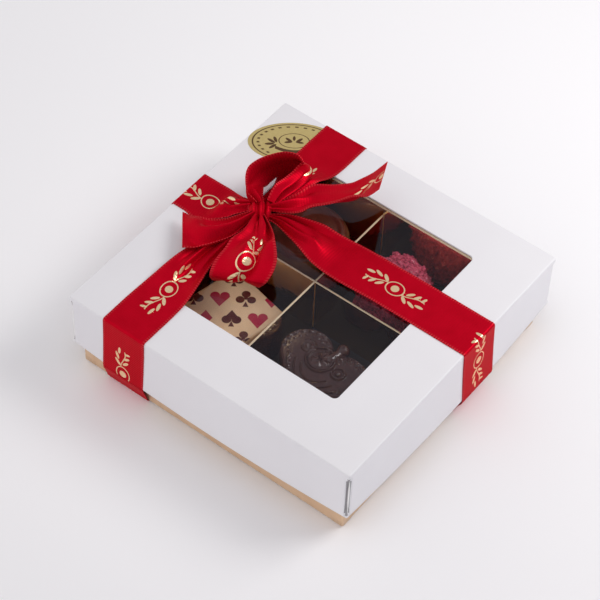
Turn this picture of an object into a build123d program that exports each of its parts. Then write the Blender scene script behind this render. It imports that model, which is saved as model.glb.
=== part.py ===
from build123d import *
import math
import os

# A window gift box with four chocolates, tied with a satin ribbon, in millimetres.
# The origin is under the middle of the lid, on the surface that the box stands on.
# X runs along the front of the box and Y from the front to the back.

# Card lid. Its side is the driving size of the whole box.
LID_SIDE = 100.0
SKIRT_DEPTH = 20.0
LID_CARD = 0.5
SKIRT_WALL = 1.0
WINDOW_X = 62.8
WINDOW_Y = 66.6
WINDOW_CENTRE = (0.0, 1.5)
WINDOW_CORNER = 1.6
FOLD_RADIUS = 0.35
CORNER_SEAM = 0.7
FILM_THICK = 0.25
FILM_BORDER = 5.0

# Satin ribbon. It is tied round the lid and the base, and passes under the box.
RIBBON_WIDTH = 15.0
RIBBON_THICK = 0.35
RIBBON_GAP = 0.15

# Base tray, a little smaller than the lid and pushed towards the front inside it.
BASE_SIDE = 94.4
BASE_WALL = 0.9
BASE_FLOOR = 0.5
BASE_SHOWING = 7.0
BASE_CENTRE = (0.8, -1.6)
CARD_PLAY = 0.1

# Platform with a square well, and the cross of two slotted dividers that stands in it.
PLATFORM_CARD = 0.5
PLATFORM_PLAY = 0.5
PLATFORM_CENTRE = (0.3, -1.1)
RIM_DROP = 1.0
WELL_SIDE = 66.4
WELL_CENTRE = (-1.0, 1.3)
DIVIDER_CARD = 0.6
DIVIDER_PLAY = 0.2
DIVIDER_DROP = 4.0
SLOT_WIDTH = 0.9
LINER_THICK = 2.0

# Chocolates.
TILE_SIDE = 24.4
TILE_HEIGHT = 12.0
TILE_TURN = -12.0
TILE_CENTRE = (-17.7, -16.9)
LOBE_RADIUS = 7.9
LOBE_OVERLAP = 0.6
HEART_CENTRE = (15.8, -15.7)
HEART_LENGTH = 23.0
HEART_HEIGHT = 13.4
HEART_TURN = -8.0
BEAD_RADIUS = 0.65
BALL_RADIUS = 2.0
NOTCH_BALL_Y = 7.6
NECK_RADIUS = 1.3
HEART_RELIEF = 1.0
DISC_RADIUS = 13.0
DISC_HEIGHT = 14.6
DISC_CENTRE = (-17.8, 19.8)
CLUSTER_CENTRE = (14.8, 19.5)

# Oval paper label on the lid's far corner.
LABEL_LONG = 28.0
LABEL_SHORT = 16.4
LABEL_THICK = 0.1
LABEL_CENTRE = (-37.4, 38.1)
LABEL_TURN = 35.8

# Levels worked out from the sizes above.
BASE_BOTTOM = RIBBON_THICK
FLOOR_TOP = BASE_BOTTOM + BASE_FLOOR
LID_BOTTOM = BASE_BOTTOM + BASE_SHOWING
LID_TOP = LID_BOTTOM + SKIRT_DEPTH
BASE_HEIGHT = LID_TOP - LID_CARD - CARD_PLAY - BASE_BOTTOM
RIM_LEVEL = LID_TOP - RIM_DROP
DIVIDER_TOP = LID_TOP - DIVIDER_DROP
LINER_TOP = FLOOR_TOP + LINER_THICK

# Where the ribbon goes over the lid's edges: the middle of its width on each side.
FRONT_X = -29.5
BACK_X = -26.5
LEFT_Y = 3.4
RIGHT_Y = 10.6
EDGE_STRETCH = 11.0

# Knot of the bow: its middle, above the lid, and its size along X, Y and Z.
KNOT_CENTRE = (-26.0, 6.9, 3.7)
KNOT_SIZE = (8.4, 7.0, 6.2)

# Each band of ribbon is a list of cuts across it. A cut is the two points on the
# ribbon's edges, in X and Y with their height above the lid.
FRONT_BAND = [
    ((-27.6, 5.2, 3.6), (-24.8, 4.3, 3.6)),
    ((-29.7, 0.5, 2.6), (-25.2, -1.3, 2.6)),
    ((-32.3, -6.5, 1.4), (-25.2, -8.9, 1.6)),
    ((-34.4, -14.2, 0.7), (-24.9, -16.2, 1.1)),
    ((-35.9, -23.2, 0.25), (-23.3, -25.0, 0.6)),
    ((-36.6, -31.0, 0.15), (-22.3, -31.5, 0.2)),
]
BACK_BAND = [
    ((-27.6, 9.1, 3.6), (-25.1, 9.7, 3.6)),
    ((-29.6, 16.4, 1.6), (-22.6, 17.0, 1.6)),
    ((-32.2, 25.0, 0.5), (-20.5, 25.6, 0.4)),
    ((-33.6, 32.5, 0.15), (-19.4, 32.5, 0.15)),
]
LEFT_BAND = [
    ((-28.8, 8.5, 3.2), (-27.6, 5.6, 3.2)),
    ((-32.4, 9.2, 2.0), (-31.4, 2.6, 1.6)),
    ((-36.5, 10.3, 0.7), (-35.5, -1.0, 0.6)),
]
RIGHT_BAND = [
    ((-23.3, 7.4, 3.4), (-24.0, 6.0, 2.9)),
    ((-19.9, 10.1, 3.0), (-21.0, 6.5, 1.9)),
    ((-14.0, 13.2, 1.8), (-14.7, 5.5, 0.6)),
    ((-6.9, 15.9, 0.7), (-7.3, 3.5, 0.25)),
    ((1.5, 17.5, 0.2), (1.4, 2.6, 0.15)),
    ((18.0, 18.0, 0.15), (18.0, 3.0, 0.15)),
    ((32.0, 18.1, 0.15), (32.0, 3.1, 0.15)),
]
LOWER_LOOP = [
    ((-23.0, 5.4, 5.5), (-24.4, 2.9, 5.5)),
    ((-15.8, 0.2, 7.5), (-22.8, -4.9, 7.0)),
    ((-10.8, -4.6, 8.2), (-22.9, -13.4, 7.4)),
    ((-8.0, -8.2, 7.4), (-22.6, -18.2, 6.6)),
    ((-7.3, -11.2, 5.4), (-22.2, -20.6, 4.9)),
    ((-8.0, -13.3, 3.0), (-22.0, -21.0, 2.8)),
    ((-9.6, -13.3, 1.2), (-22.0, -19.6, 1.0)),
    ((-12.6, -8.9, 0.8), (-23.0, -13.3, 0.8)),
    ((-17.2, -2.0, 1.2), (-23.4, -4.8, 1.2)),
    ((-21.6, 3.6, 2.4), (-23.6, 1.7, 2.4)),
]
UPPER_LOOP = [
    ((-27.4, 7.1, 6.2), (-26.2, 8.6, 5.4)),
    ((-29.9, 5.8, 9.5), (-28.6, 11.4, 4.6)),
    ((-32.1, 7.2, 12.0), (-31.7, 15.2, 2.8)),
    ((-33.4, 10.6, 13.0), (-31.4, 16.8, 2.0)),
    ((-33.1, 14.9, 13.5), (-31.8, 19.4, 1.6)),
    ((-31.1, 18.9, 14.0), (-31.9, 22.4, 1.6)),
    ((-28.1, 22.6, 14.0), (-30.7, 25.7, 1.6)),
    ((-24.8, 24.6, 13.2), (-28.2, 28.0, 1.7)),
    ((-22.6, 25.2, 12.0), (-25.2, 28.4, 1.8)),
    ((-23.6, 22.7, 10.5), (-23.5, 25.4, 2.2)),
    ((-24.8, 18.2, 9.5), (-22.7, 20.5, 3.0)),
    ((-25.6, 13.8, 9.0), (-23.0, 14.6, 3.8)),
    ((-25.2, 10.0, 6.6), (-23.9, 10.6, 4.6)),
]
LEFT_TAIL = [
    ((-26.6, 4.4, 5.5), (-25.0, 3.3, 4.8)),
    ((-28.4, 1.5, 5.4), (-25.2, -0.7, 4.6)),
    ((-30.7, -2.4, 5.2), (-26.1, -5.8, 4.8)),
    ((-34.2, -5.2, 4.8), (-28.2, -10.5, 4.8)),
    ((-38.4, -6.7, 4.2), (-30.3, -14.7, 4.8)),
    ((-43.5, -7.2, 3.4), (-34.0, -18.8, 4.8)),
]
RIGHT_TAIL = [
    ((-24.5, 8.9, 5.4), (-22.9, 8.1, 4.8)),
    ((-22.0, 14.3, 5.5), (-17.6, 10.5, 5.5)),
    ((-18.6, 23.2, 4.8), (-11.8, 13.8, 8.0)),
    ((-12.7, 27.1, 5.8), (-6.2, 17.2, 11.0)),
    ((-8.2, 29.8, 7.5), (-2.5, 20.3, 13.0)),
    ((-6.7, 35.4, 9.0), (0.1, 23.5, 14.0)),
    ((-5.6, 41.6, 10.0), (1.0, 28.2, 14.0)),
]


def block(size_x, size_y, bottom, top, centre=(0.0, 0.0)):
    """Upright block between two levels, about a point of the plan."""
    place = Location((centre[0], centre[1], (bottom + top) / 2))
    return place * Box(size_x, size_y, top - bottom)


def rounded_block(size_x, size_y, corner, bottom, top, centre=(0.0, 0.0)):
    """Upright block with rounded corners in plan."""
    outline = RectangleRounded(size_x, size_y, corner)
    return Location((centre[0], centre[1], bottom)) * extrude(outline, top - bottom)


def largest(shape):
    """The biggest solid of a shape, which leaves out slivers that a cut makes."""
    return max(shape.solids(), key=lambda solid: solid.volume)


def make_lid_shell():
    """Top card with its window, double skirt walls and an open seam at each corner."""
    outer = block(LID_SIDE, LID_SIDE, LID_BOTTOM, LID_TOP)
    outer = fillet(outer.faces().sort_by(Axis.Z)[-1].edges(), FOLD_RADIUS)
    inside = LID_SIDE - 2 * SKIRT_WALL
    shell = outer - block(inside, inside, LID_BOTTOM, LID_TOP - LID_CARD)
    card = (LID_TOP - LID_CARD, LID_TOP)
    shell -= rounded_block(WINDOW_X, WINDOW_Y, WINDOW_CORNER, *card, WINDOW_CENTRE)
    seam_height = SKIRT_DEPTH - 1.5
    for x_sign in (-1, 1):
        for y_sign in (-1, 1):
            corner = (x_sign * LID_SIDE / 2, y_sign * LID_SIDE / 2, LID_BOTTOM + seam_height / 2)
            shell -= Location(corner) * Cylinder(CORNER_SEAM, seam_height)
    return shell


def make_window_film():
    """Clear film glued under the top card, behind the window."""
    size_x = WINDOW_X + 2 * FILM_BORDER
    size_y = WINDOW_Y + 2 * FILM_BORDER
    top = LID_TOP - LID_CARD
    return rounded_block(size_x, size_y, 1.0, top - FILM_THICK, top, WINDOW_CENTRE)


def make_oval_label():
    """Oval paper label, stuck flat on the lid."""
    oval = extrude(Ellipse(LABEL_LONG / 2, LABEL_SHORT / 2), LABEL_THICK)
    return Location((LABEL_CENTRE[0], LABEL_CENTRE[1], LID_TOP), (0, 0, LABEL_TURN)) * oval


def make_base_tray():
    """Open tray with a thin floor and walls folded from card."""
    top = BASE_BOTTOM + BASE_HEIGHT
    inside = BASE_SIDE - 2 * BASE_WALL
    tray = rounded_block(BASE_SIDE, BASE_SIDE, 0.6, BASE_BOTTOM, top, BASE_CENTRE)
    return tray - block(inside, inside, FLOOR_TOP, top, BASE_CENTRE)


def make_platform():
    """Folded platform: a ledge round a square well, with walls down to the tray's floor."""
    side = BASE_SIDE - 2 * BASE_WALL - 2 * PLATFORM_PLAY
    inner_side = side - 2 * PLATFORM_CARD
    wall_side = WELL_SIDE + 2 * PLATFORM_CARD
    under_ledge = RIM_LEVEL - PLATFORM_CARD
    platform = rounded_block(side, side, 0.5, FLOOR_TOP, RIM_LEVEL, PLATFORM_CENTRE)
    hollow = block(inner_side, inner_side, FLOOR_TOP, under_ledge, PLATFORM_CENTRE)
    hollow -= block(wall_side, wall_side, FLOOR_TOP, under_ledge, WELL_CENTRE)
    well = block(WELL_SIDE, WELL_SIDE, FLOOR_TOP, RIM_LEVEL, WELL_CENTRE)
    return platform - hollow - well


def make_liner():
    """Soft dark pad on the floor of the well."""
    side = WELL_SIDE - 2 * DIVIDER_PLAY
    return rounded_block(side, side, 0.8, FLOOR_TOP, LINER_TOP, WELL_CENTRE)


def make_long_divider():
    """Divider along X, slotted from below where it crosses the other one."""
    length = WELL_SIDE - 2 * DIVIDER_PLAY
    middle = (LINER_TOP + DIVIDER_TOP) / 2
    plate = block(length, DIVIDER_CARD, LINER_TOP, DIVIDER_TOP, WELL_CENTRE)
    return plate - block(SLOT_WIDTH, 2 * DIVIDER_CARD, LINER_TOP, middle, WELL_CENTRE)


def make_cross_divider():
    """Divider along Y, slotted from above."""
    length = WELL_SIDE - 2 * DIVIDER_PLAY
    middle = (LINER_TOP + DIVIDER_TOP) / 2
    plate = block(DIVIDER_CARD, length, LINER_TOP, DIVIDER_TOP, WELL_CENTRE)
    return plate - block(2 * DIVIDER_CARD, SLOT_WIDTH, middle, DIVIDER_TOP, WELL_CENTRE)


def make_suit_tile():
    """Square moulded chocolate with a flat printed top and softened edges."""
    tile = extrude(RectangleRounded(TILE_SIDE, TILE_SIDE, 1.8), TILE_HEIGHT, taper=3)
    tile = fillet(tile.faces().sort_by(Axis.Z)[-1].edges(), 0.8)
    return Location((TILE_CENTRE[0], TILE_CENTRE[1], LINER_TOP), (0, 0, TILE_TURN)) * tile


def heart_outline():
    """Heart in plan: an arc round each lobe, from the notch to the straight side that
    touches it and runs down to the tip."""
    lobe_x = LOBE_RADIUS - LOBE_OVERLAP
    tip = LOBE_RADIUS - HEART_LENGTH
    notch = (0, math.sqrt(LOBE_RADIUS ** 2 - lobe_x ** 2))
    reach = math.hypot(lobe_x, tip)
    touch_angle = math.acos(LOBE_RADIUS / reach) - math.atan2(-tip, -lobe_x)
    touch = (lobe_x + LOBE_RADIUS * math.cos(touch_angle), LOBE_RADIUS * math.sin(touch_angle))
    crest = (lobe_x + LOBE_RADIUS * math.cos(1.0), LOBE_RADIUS * math.sin(1.0))
    mirrored = [(-x, y) for x, y in (touch, crest)]
    edges = [
        Line((0, tip), touch),
        ThreePointArc(touch, crest, notch),
        ThreePointArc(notch, mirrored[1], mirrored[0]),
        Line(mirrored[0], (0, tip)),
    ]
    return make_face(edges)


def make_heart():
    """Heart with a beaded rim on each lobe, a raised ring, and a ball on a neck in the notch."""
    top = HEART_HEIGHT - HEART_RELIEF
    body = extrude(heart_outline(), top)
    lobe_x = LOBE_RADIUS - LOBE_OVERLAP
    bead_path = LOBE_RADIUS - 1.3
    raised = [Location((0, 0, top - 0.2)) * extrude(Circle(4.6) - Circle(3.8), 0.7)]
    for sign in (-1, 1):
        for step in range(8):
            angle = math.radians(42 + 23 * step)
            x = sign * (lobe_x - bead_path * math.cos(angle))
            y = bead_path * math.sin(angle)
            raised.append(Location((x, y, top - 0.1)) * Sphere(BEAD_RADIUS))
    ball_level = HEART_HEIGHT - BALL_RADIUS
    raised.append(Location((0, NOTCH_BALL_Y, ball_level), (0, 0, 90)) * Sphere(BALL_RADIUS))
    neck = Cylinder(NECK_RADIUS, NOTCH_BALL_Y)
    raised.append(Location((0, NOTCH_BALL_Y / 2, ball_level), (90, 0, 0)) * neck)
    body = body.fuse(*raised)
    place = Location((HEART_CENTRE[0], HEART_CENTRE[1], LINER_TOP), (0, 0, HEART_TURN))
    return place * body


def make_disc():
    """Round chocolate with a rolled shoulder and a shallow dished top."""
    profile = Polyline(
        (0, 0),
        (DISC_RADIUS, 0),
        (DISC_RADIUS, DISC_HEIGHT - 4.0),
        (DISC_RADIUS - 0.8, DISC_HEIGHT - 1.2),
        (DISC_RADIUS - 2.2, DISC_HEIGHT),
        (DISC_RADIUS - 3.0, DISC_HEIGHT - 0.5),
        (0, DISC_HEIGHT - 0.5),
        close=True,
    )
    disc = revolve(Plane.XZ * make_face(profile), Axis.Z)
    return Location((DISC_CENTRE[0], DISC_CENTRE[1], LINER_TOP)) * disc


def make_cluster():
    """Rough heap of crushed fruit: uneven rings of corners, ruled from one to the next."""
    rings = [(0.0, 11.4), (5.0, 12.5), (10.5, 12.0), (14.5, 10.4), (17.4, 7.4), (19.0, 3.2)]
    corners = 14
    sections = []
    for index, (level, radius) in enumerate(rings):
        points = []
        for corner in range(corners):
            angle = 2 * math.pi * corner / corners
            uneven = 1 + 0.07 * math.sin(5 * angle + 2.1 * index) + 0.04 * math.cos(3 * angle + index)
            reach = radius * uneven
            points.append((reach * math.cos(angle), reach * math.sin(angle), level))
        sections.append(make_face(Polyline(*points, close=True)))
    heap = loft(sections, ruled=True)
    return Location((CLUSTER_CENTRE[0], CLUSTER_CENTRE[1], LINER_TOP)) * heap


def make_band(cuts, up=1):
    """Thin band of ribbon, ruled from each cut across it to the next."""
    middles = [(Vector(*a) + Vector(*b)) / 2 for a, b in cuts]
    sections = []
    for index, (a, b) in enumerate(cuts):
        before = middles[max(index - 1, 0)]
        after = middles[min(index + 1, len(cuts) - 1)]
        across = Vector(*b) - Vector(*a)
        face_way = (after - before).cross(across).normalized() * (up * RIBBON_THICK)
        lift = Vector(0, 0, LID_TOP)
        low_a = Vector(*a) + lift
        low_b = Vector(*b) + lift
        outline = Polyline(low_a, low_b, low_b + face_way, low_a + face_way, close=True)
        sections.append(make_face(outline))
    return loft(sections, ruled=True)


def band_over_edge(outline, centre, direction):
    """Upright outline drawn outwards from the box, swept across the ribbon's width.

    Direction is the outward angle in degrees."""
    band = extrude(Plane.XZ * make_face(outline), RIBBON_WIDTH / 2, both=True)
    turned = Location((0, 0, 0), (0, 0, direction)) * band
    return Location((centre[0], centre[1], 0)) * turned


def make_edge_band(centre, direction):
    """Ribbon over one edge of the lid and down to the bottom of its skirt."""
    near = LID_SIDE / 2 + RIBBON_GAP
    far = near + RIBBON_THICK
    level = LID_TOP + RIBBON_GAP
    start = LID_SIDE / 2 - EDGE_STRETCH
    outline = Polyline(
        (start, level),
        (near, level),
        (near, LID_BOTTOM),
        (far, LID_BOTTOM),
        (far, level + RIBBON_THICK),
        (start, level + RIBBON_THICK),
        close=True,
    )
    return band_over_edge(outline, centre, direction)


def make_foot(centre, direction, base_face):
    """Ribbon from the bottom of the skirt in to the base's bottom edge."""
    near = LID_SIDE / 2 + RIBBON_GAP
    foot = base_face + CARD_PLAY
    top = LID_BOTTOM - RIBBON_GAP
    outline = Polyline(
        (foot, 0),
        (foot + RIBBON_THICK, 0),
        (near + RIBBON_THICK, top),
        (near, top),
        close=True,
    )
    return band_over_edge(outline, centre, direction)


def make_strand(cuts, centre, direction):
    """One arm of the tied ribbon, from the knot to the bottom of the skirt."""
    out = Vector(math.cos(math.radians(direction)), math.sin(math.radians(direction)), 0)
    half_across = Vector(-out.Y, out.X, 0) * (RIBBON_WIDTH / 2)
    end = out * (LID_SIDE / 2 - EDGE_STRETCH) + Vector(centre[0], centre[1], RIBBON_GAP)
    edge_cut = [tuple(end + half_across), tuple(end - half_across)]
    last_across = Vector(*cuts[-1][1]) - Vector(*cuts[-1][0])
    if last_across.dot(half_across) > 0:
        edge_cut.reverse()
    cuts = cuts + [tuple(edge_cut)]
    first_across = Vector(*cuts[0][1]) - Vector(*cuts[0][0])
    first_along = Vector(*cuts[1][0]) - Vector(*cuts[0][0])
    up = 1 if first_along.cross(first_across).Z > 0 else -1
    return make_band(cuts, up) + make_edge_band(centre, direction)


def make_knot():
    """Tight knot: a rounded lump of ribbon."""
    ball = scale(Sphere(0.5), by=KNOT_SIZE)
    return Location((KNOT_CENTRE[0], KNOT_CENTRE[1], LID_TOP + KNOT_CENTRE[2])) * ball


def make_ribbon_under():
    """The two lengths of ribbon that pass under the box, pressed flat where they cross,
    and their four ends, which turn up to the lid's skirt."""
    half_base = BASE_SIDE / 2
    half = RIBBON_WIDTH / 2
    sides = {
        "front": ((FRONT_X, 0), -90, half_base - BASE_CENTRE[1]),
        "back": ((BACK_X, 0), 90, half_base + BASE_CENTRE[1]),
        "left": ((0, LEFT_Y), 180, half_base - BASE_CENTRE[0]),
        "right": ((0, RIGHT_Y), 0, half_base + BASE_CENTRE[0]),
    }
    reach = {side: place[2] + CARD_PLAY + RIBBON_THICK / 2 for side, place in sides.items()}
    lengthwise = Polygon(
        (FRONT_X - half, -reach["front"]),
        (FRONT_X + half, -reach["front"]),
        (BACK_X + half, reach["back"]),
        (BACK_X - half, reach["back"]),
        align=None,
    )
    crosswise = Polygon(
        (-reach["left"], LEFT_Y - half),
        (reach["right"], RIGHT_Y - half),
        (reach["right"], RIGHT_Y + half),
        (-reach["left"], LEFT_Y + half),
        align=None,
    )
    under = extrude(lengthwise + crosswise, RIBBON_THICK)
    for centre, direction, base_face in sides.values():
        under += make_foot(centre, direction, base_face)
    return under - make_base_tray()


def make_ribbon():
    """The tied ribbon in its named lengths, each trimmed where another one lies."""
    pieces = {
        "bow_knot": make_knot(),
        "ribbon_front": make_strand(FRONT_BAND, (FRONT_X, 0), -90),
        "ribbon_back": make_strand(BACK_BAND, (BACK_X, 0), 90),
        "ribbon_left": make_strand(LEFT_BAND, (0, LEFT_Y), 180),
        "ribbon_right": make_strand(RIGHT_BAND, (0, RIGHT_Y), 0),
        "bow_lower_loop": make_band(LOWER_LOOP),
        "bow_upper_loop": make_band(UPPER_LOOP),
        "bow_left_tail": make_band(LEFT_TAIL),
        "bow_right_tail": make_band(RIGHT_TAIL),
    }
    placed = {}
    for name, piece in pieces.items():
        for other in placed.values():
            piece = piece - other
        placed[name] = largest(piece)
    return placed


def make_all():
    """Every piece of the box under its node's name."""
    pieces = {
        "lid_shell": make_lid_shell(),
        "window_film": make_window_film(),
        "oval_label": make_oval_label(),
        "base_tray": make_base_tray(),
        "platform_insert": make_platform(),
        "liner_pad": make_liner(),
        "long_divider": make_long_divider(),
        "cross_divider": make_cross_divider(),
        "chocolate_suit_tile": make_suit_tile(),
        "chocolate_dark_heart": make_heart(),
        "chocolate_milk_disc": make_disc(),
        "chocolate_raspberry_cluster": make_cluster(),
        "ribbon_under": make_ribbon_under(),
    }
    pieces.update(make_ribbon())
    return pieces


os.makedirs("parts", exist_ok=True)
for node, piece in make_all().items():
    export_step(piece, f"parts/{node}.step")
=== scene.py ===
"""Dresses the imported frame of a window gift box: card, foil, film, four chocolates and a tied ribbon.

Shapes are worked out in millimetres in the frame's axes, +X along the front, +Y to the back and +Z
up, and become metres where a mesh is made.
"""
import math

import bmesh
import bpy
import numpy as np
from mathutils import Matrix, Vector


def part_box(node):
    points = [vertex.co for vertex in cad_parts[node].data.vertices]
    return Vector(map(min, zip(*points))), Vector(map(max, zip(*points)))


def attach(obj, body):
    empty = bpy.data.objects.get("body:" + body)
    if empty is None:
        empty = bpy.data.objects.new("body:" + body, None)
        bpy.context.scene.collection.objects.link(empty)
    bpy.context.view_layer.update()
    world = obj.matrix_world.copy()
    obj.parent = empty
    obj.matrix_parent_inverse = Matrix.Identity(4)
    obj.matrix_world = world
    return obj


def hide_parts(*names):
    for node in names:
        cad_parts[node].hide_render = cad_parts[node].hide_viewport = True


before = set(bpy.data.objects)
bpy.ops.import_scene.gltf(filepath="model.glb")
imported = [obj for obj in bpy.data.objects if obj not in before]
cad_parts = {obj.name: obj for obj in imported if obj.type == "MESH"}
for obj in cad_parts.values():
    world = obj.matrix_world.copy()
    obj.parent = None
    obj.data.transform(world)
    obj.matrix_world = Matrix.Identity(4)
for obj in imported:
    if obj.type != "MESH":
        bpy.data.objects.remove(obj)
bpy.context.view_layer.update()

MM = 0.001


def box_mm(node):
    """Lowest and highest corner of a node at rest, in millimetres."""
    return [np.array(corner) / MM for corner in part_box(node)]


# Levels and sizes read from the frame. All shapes below are worked out in millimetres.
LID_LOW, LID_HIGH = box_mm("lid_shell")
LID_BOTTOM = LID_LOW[2]
LID_TOP = LID_HIGH[2]
HALF_LID = LID_HIGH[0]
TRAY_LOW, TRAY_HIGH = box_mm("base_tray")
FILM_LOW, FILM_HIGH = box_mm("window_film")
LEDGE_LOW, LEDGE_HIGH = box_mm("platform_insert")
LONG_LOW, LONG_HIGH = box_mm("long_divider")
CROSS_LOW, CROSS_HIGH = box_mm("cross_divider")
TILE_LOW, TILE_HIGH = box_mm("chocolate_suit_tile")
HEART_LOW, HEART_HIGH = box_mm("chocolate_dark_heart")
DISC_LOW, DISC_HIGH = box_mm("chocolate_milk_disc")
CLUSTER_LOW, CLUSTER_HIGH = box_mm("chocolate_raspberry_cluster")
LABEL_LOW, LABEL_HIGH = box_mm("oval_label")
KNOT_LOW, KNOT_HIGH = box_mm("bow_knot")

# Card. WINDOW_BORDER is how far the film reaches past the window, TAB_WIDTH how far the tray's tabs
# reach from its corners and TAB_PROUD how far they stand out.
LID_CARD = 0.5
SKIRT_WALL = 1.0
FOLD_RADIUS = 0.5
WINDOW_BORDER = 5.0
WINDOW_CORNER = 1.6
WINDOW_BEVEL = 0.14
TRAY_WALL = 0.9
TRAY_FLOOR = 0.5
TRAY_EDGE = 0.4
TAB_WIDTH = 3.4
TAB_PROUD = 0.14
CORNER_RADIUS = 0.6
LEDGE_CARD = 0.5
LEDGE_FOLD = 0.4
WELL_SIDE = 66.4
WELL_CENTRE = (-1.0, 1.3)
DIVIDER_SLOT = 0.9
CARD_BEVEL = 0.1

# How far the lower edge of each skirt wall bows out at its middle: front, right, back, left. The bow
# grows with this power of the way down.
SKIRT_BOWS = (1.6, 1.3, 0.9, 0.9)
BOW_POWER = 1.3

# The open seam at each of the lid's corners: how deep it is, how far it reaches from the corner's
# middle to where it has closed, over how much of that it closes, and the power of the sine of its
# height that its depth follows.
SEAM_DEPTH = 1.05
SEAM_REACH = 1.15
SEAM_SIDE = 0.3
SEAM_POWER = 0.6

# Ribbon. FOLD_SHARE is how much of its spare width goes into folds. A row across it has
# ACROSS_POINTS points, and its folds' height is found in HALVINGS steps.
RIBBON_WIDTH = 15.0
RIBBON_THICK = 0.25
RIBBON_LIFT = 0.03
FOLD_SHARE = 0.72
ACROSS_POINTS = 61
HALVINGS = 36
UNDER_THICK = 0.16

# Chocolates.
TILE_TURN = math.radians(-12.0)
TILE_SIDE = 24.4
LOBE_RADIUS = 7.9
LOBE_OVERLAP = 0.6
HEART_CENTRE = (15.8, -15.7)
HEART_LENGTH = 23.0
HEART_TURN = math.radians(-8.0)
BALL_RADIUS = 2.0
NOTCH_BALL_Y = 7.6
CRUMBS = 520

# Label: its turn in plan, and half its length and width.
LABEL_TURN = math.radians(35.8)
LABEL_HALF = (14.0, 8.2)

# Camera fitted to the lid's corners in the photograph.
CAMERA_AZIMUTH = math.radians(35.84)
CAMERA_ELEVATION = math.radians(50.20)
CAMERA_ROLL = math.radians(2.50)
CAMERA_DISTANCE = 640.3
CAMERA_AIM = Vector((1.9, -9.7, LID_TOP))
CAMERA_LENS = 135.0

# The floor reaches this far each way.
FLOOR_HALF = 6000.0


class Value:
    """A shader value. Each operator on it adds the Math node that works it out."""

    def __init__(self, finish, socket):
        self.finish = finish
        self.socket = socket

    def maths(self, operation, *others):
        return self.finish.add("ShaderNodeMath", {"operation": operation}, [self, *others])

    def __add__(self, other):
        return self.maths("ADD", other)

    def __sub__(self, other):
        return self.maths("SUBTRACT", other)

    def __mul__(self, other):
        return self.maths("MULTIPLY", other)

    def __truediv__(self, other):
        return self.maths("DIVIDE", other)

    def __rsub__(self, other):
        return self * -1.0 + other

    def __abs__(self):
        return self.maths("ABSOLUTE")

    def __mod__(self, other):
        return self.maths("FLOORED_MODULO", other)

    __radd__ = __add__
    __rmul__ = __mul__

    def least(self, other):
        return self.maths("MINIMUM", other)

    def most(self, other):
        return self.maths("MAXIMUM", other)

    def sine(self):
        return self.maths("SINE")

    def floor(self):
        return self.maths("FLOOR")

    def sign(self):
        return self.maths("SIGN")

    def step(self, low, high):
        """0 below low, 1 above high, and a smooth rise between them."""
        settings = {"interpolation_type": "SMOOTHSTEP"}
        return self.finish.add("ShaderNodeMapRange", settings, {"Value": self, 1: low, 2: high})

    def equals(self, number):
        return self.finish.add("ShaderNodeMath", {"operation": "COMPARE"}, [self, number, 0.25])


class Finish:
    """A material, or the world's light, and the nodes that paint it."""

    def __init__(self, name, world=False):
        self.owner = (bpy.data.worlds if world else bpy.data.materials).new(name)
        self.owner.use_nodes = True
        self.tree = self.owner.node_tree
        self.tree.nodes.clear()
        self.output = self.tree.nodes.new("ShaderNodeOutputWorld" if world else "ShaderNodeOutputMaterial")

    def add(self, kind, settings=None, inputs=(), output=0):
        """Adds a node with these settings and inputs, and gives one of its outputs."""
        node = self.tree.nodes.new(kind)
        for name, setting in (settings or {}).items():
            if name == "stops":
                self.set_stops(node.color_ramp, setting)
            else:
                setattr(node, name, setting)
        pairs = inputs.items() if isinstance(inputs, dict) else enumerate(inputs)
        for key, value in pairs:
            self.feed(node.inputs[key], value)
        return Value(self, node.outputs[output])

    def set_stops(self, ramp, stops):
        while len(ramp.elements) < len(stops):
            ramp.elements.new(1.0)
        for element, (place, colour) in zip(ramp.elements, stops):
            element.position = place
            element.color = (*colour, 1.0)

    def feed(self, socket, value):
        if isinstance(value, Value):
            self.tree.links.new(value.socket, socket)
        elif hasattr(value, "__len__") and socket.type == "RGBA" and len(value) == 3:
            socket.default_value = (*value, 1.0)
        else:
            socket.default_value = value

    def mix(self, factor, first, second):
        """Colour between first and second."""
        settings = {"data_type": "RGBA"}
        return self.add("ShaderNodeMix", settings, {0: factor, 6: first, 7: second}, 2)

    def place(self):
        """X, Y and Z of the point in the frame, in millimetres."""
        where = self.add("ShaderNodeTexCoord", output=3)
        scaled = self.add("ShaderNodeVectorMath", {"operation": "SCALE"}, {0: where, 3: 1 / MM})
        parts = [self.add("ShaderNodeSeparateXYZ", {}, [scaled], axis) for axis in range(3)]
        return scaled, parts

    def along_across(self, uv_map):
        """Distances along and across a ribbon, in millimetres, from one of its UV maps."""
        where = self.add("ShaderNodeUVMap", {"uv_map": uv_map})
        return [self.add("ShaderNodeSeparateXYZ", {}, [where], axis) / MM for axis in range(2)]

    def noise(self, where, scale, detail=3.0, roughness=0.5):
        inputs = {"Vector": where, "Scale": scale, "Detail": detail, "Roughness": roughness}
        return self.add("ShaderNodeTexNoise", {}, inputs)

    def bump(self, height, distance):
        """Normal bumped by a height, of which 1 stands for that distance in metres."""
        return self.add("ShaderNodeBump", {}, {"Height": height, "Distance": distance, "Strength": 1.0})

    def shine(self, **inputs):
        """Principled shader. An input's name has underscores for its spaces."""
        named = {name.replace("_", " "): value for name, value in inputs.items()}
        return self.add("ShaderNodeBsdfPrincipled", {}, named)

    def done(self, shader):
        self.tree.links.new(shader.socket, self.output.inputs["Surface"])
        return self.owner


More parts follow.
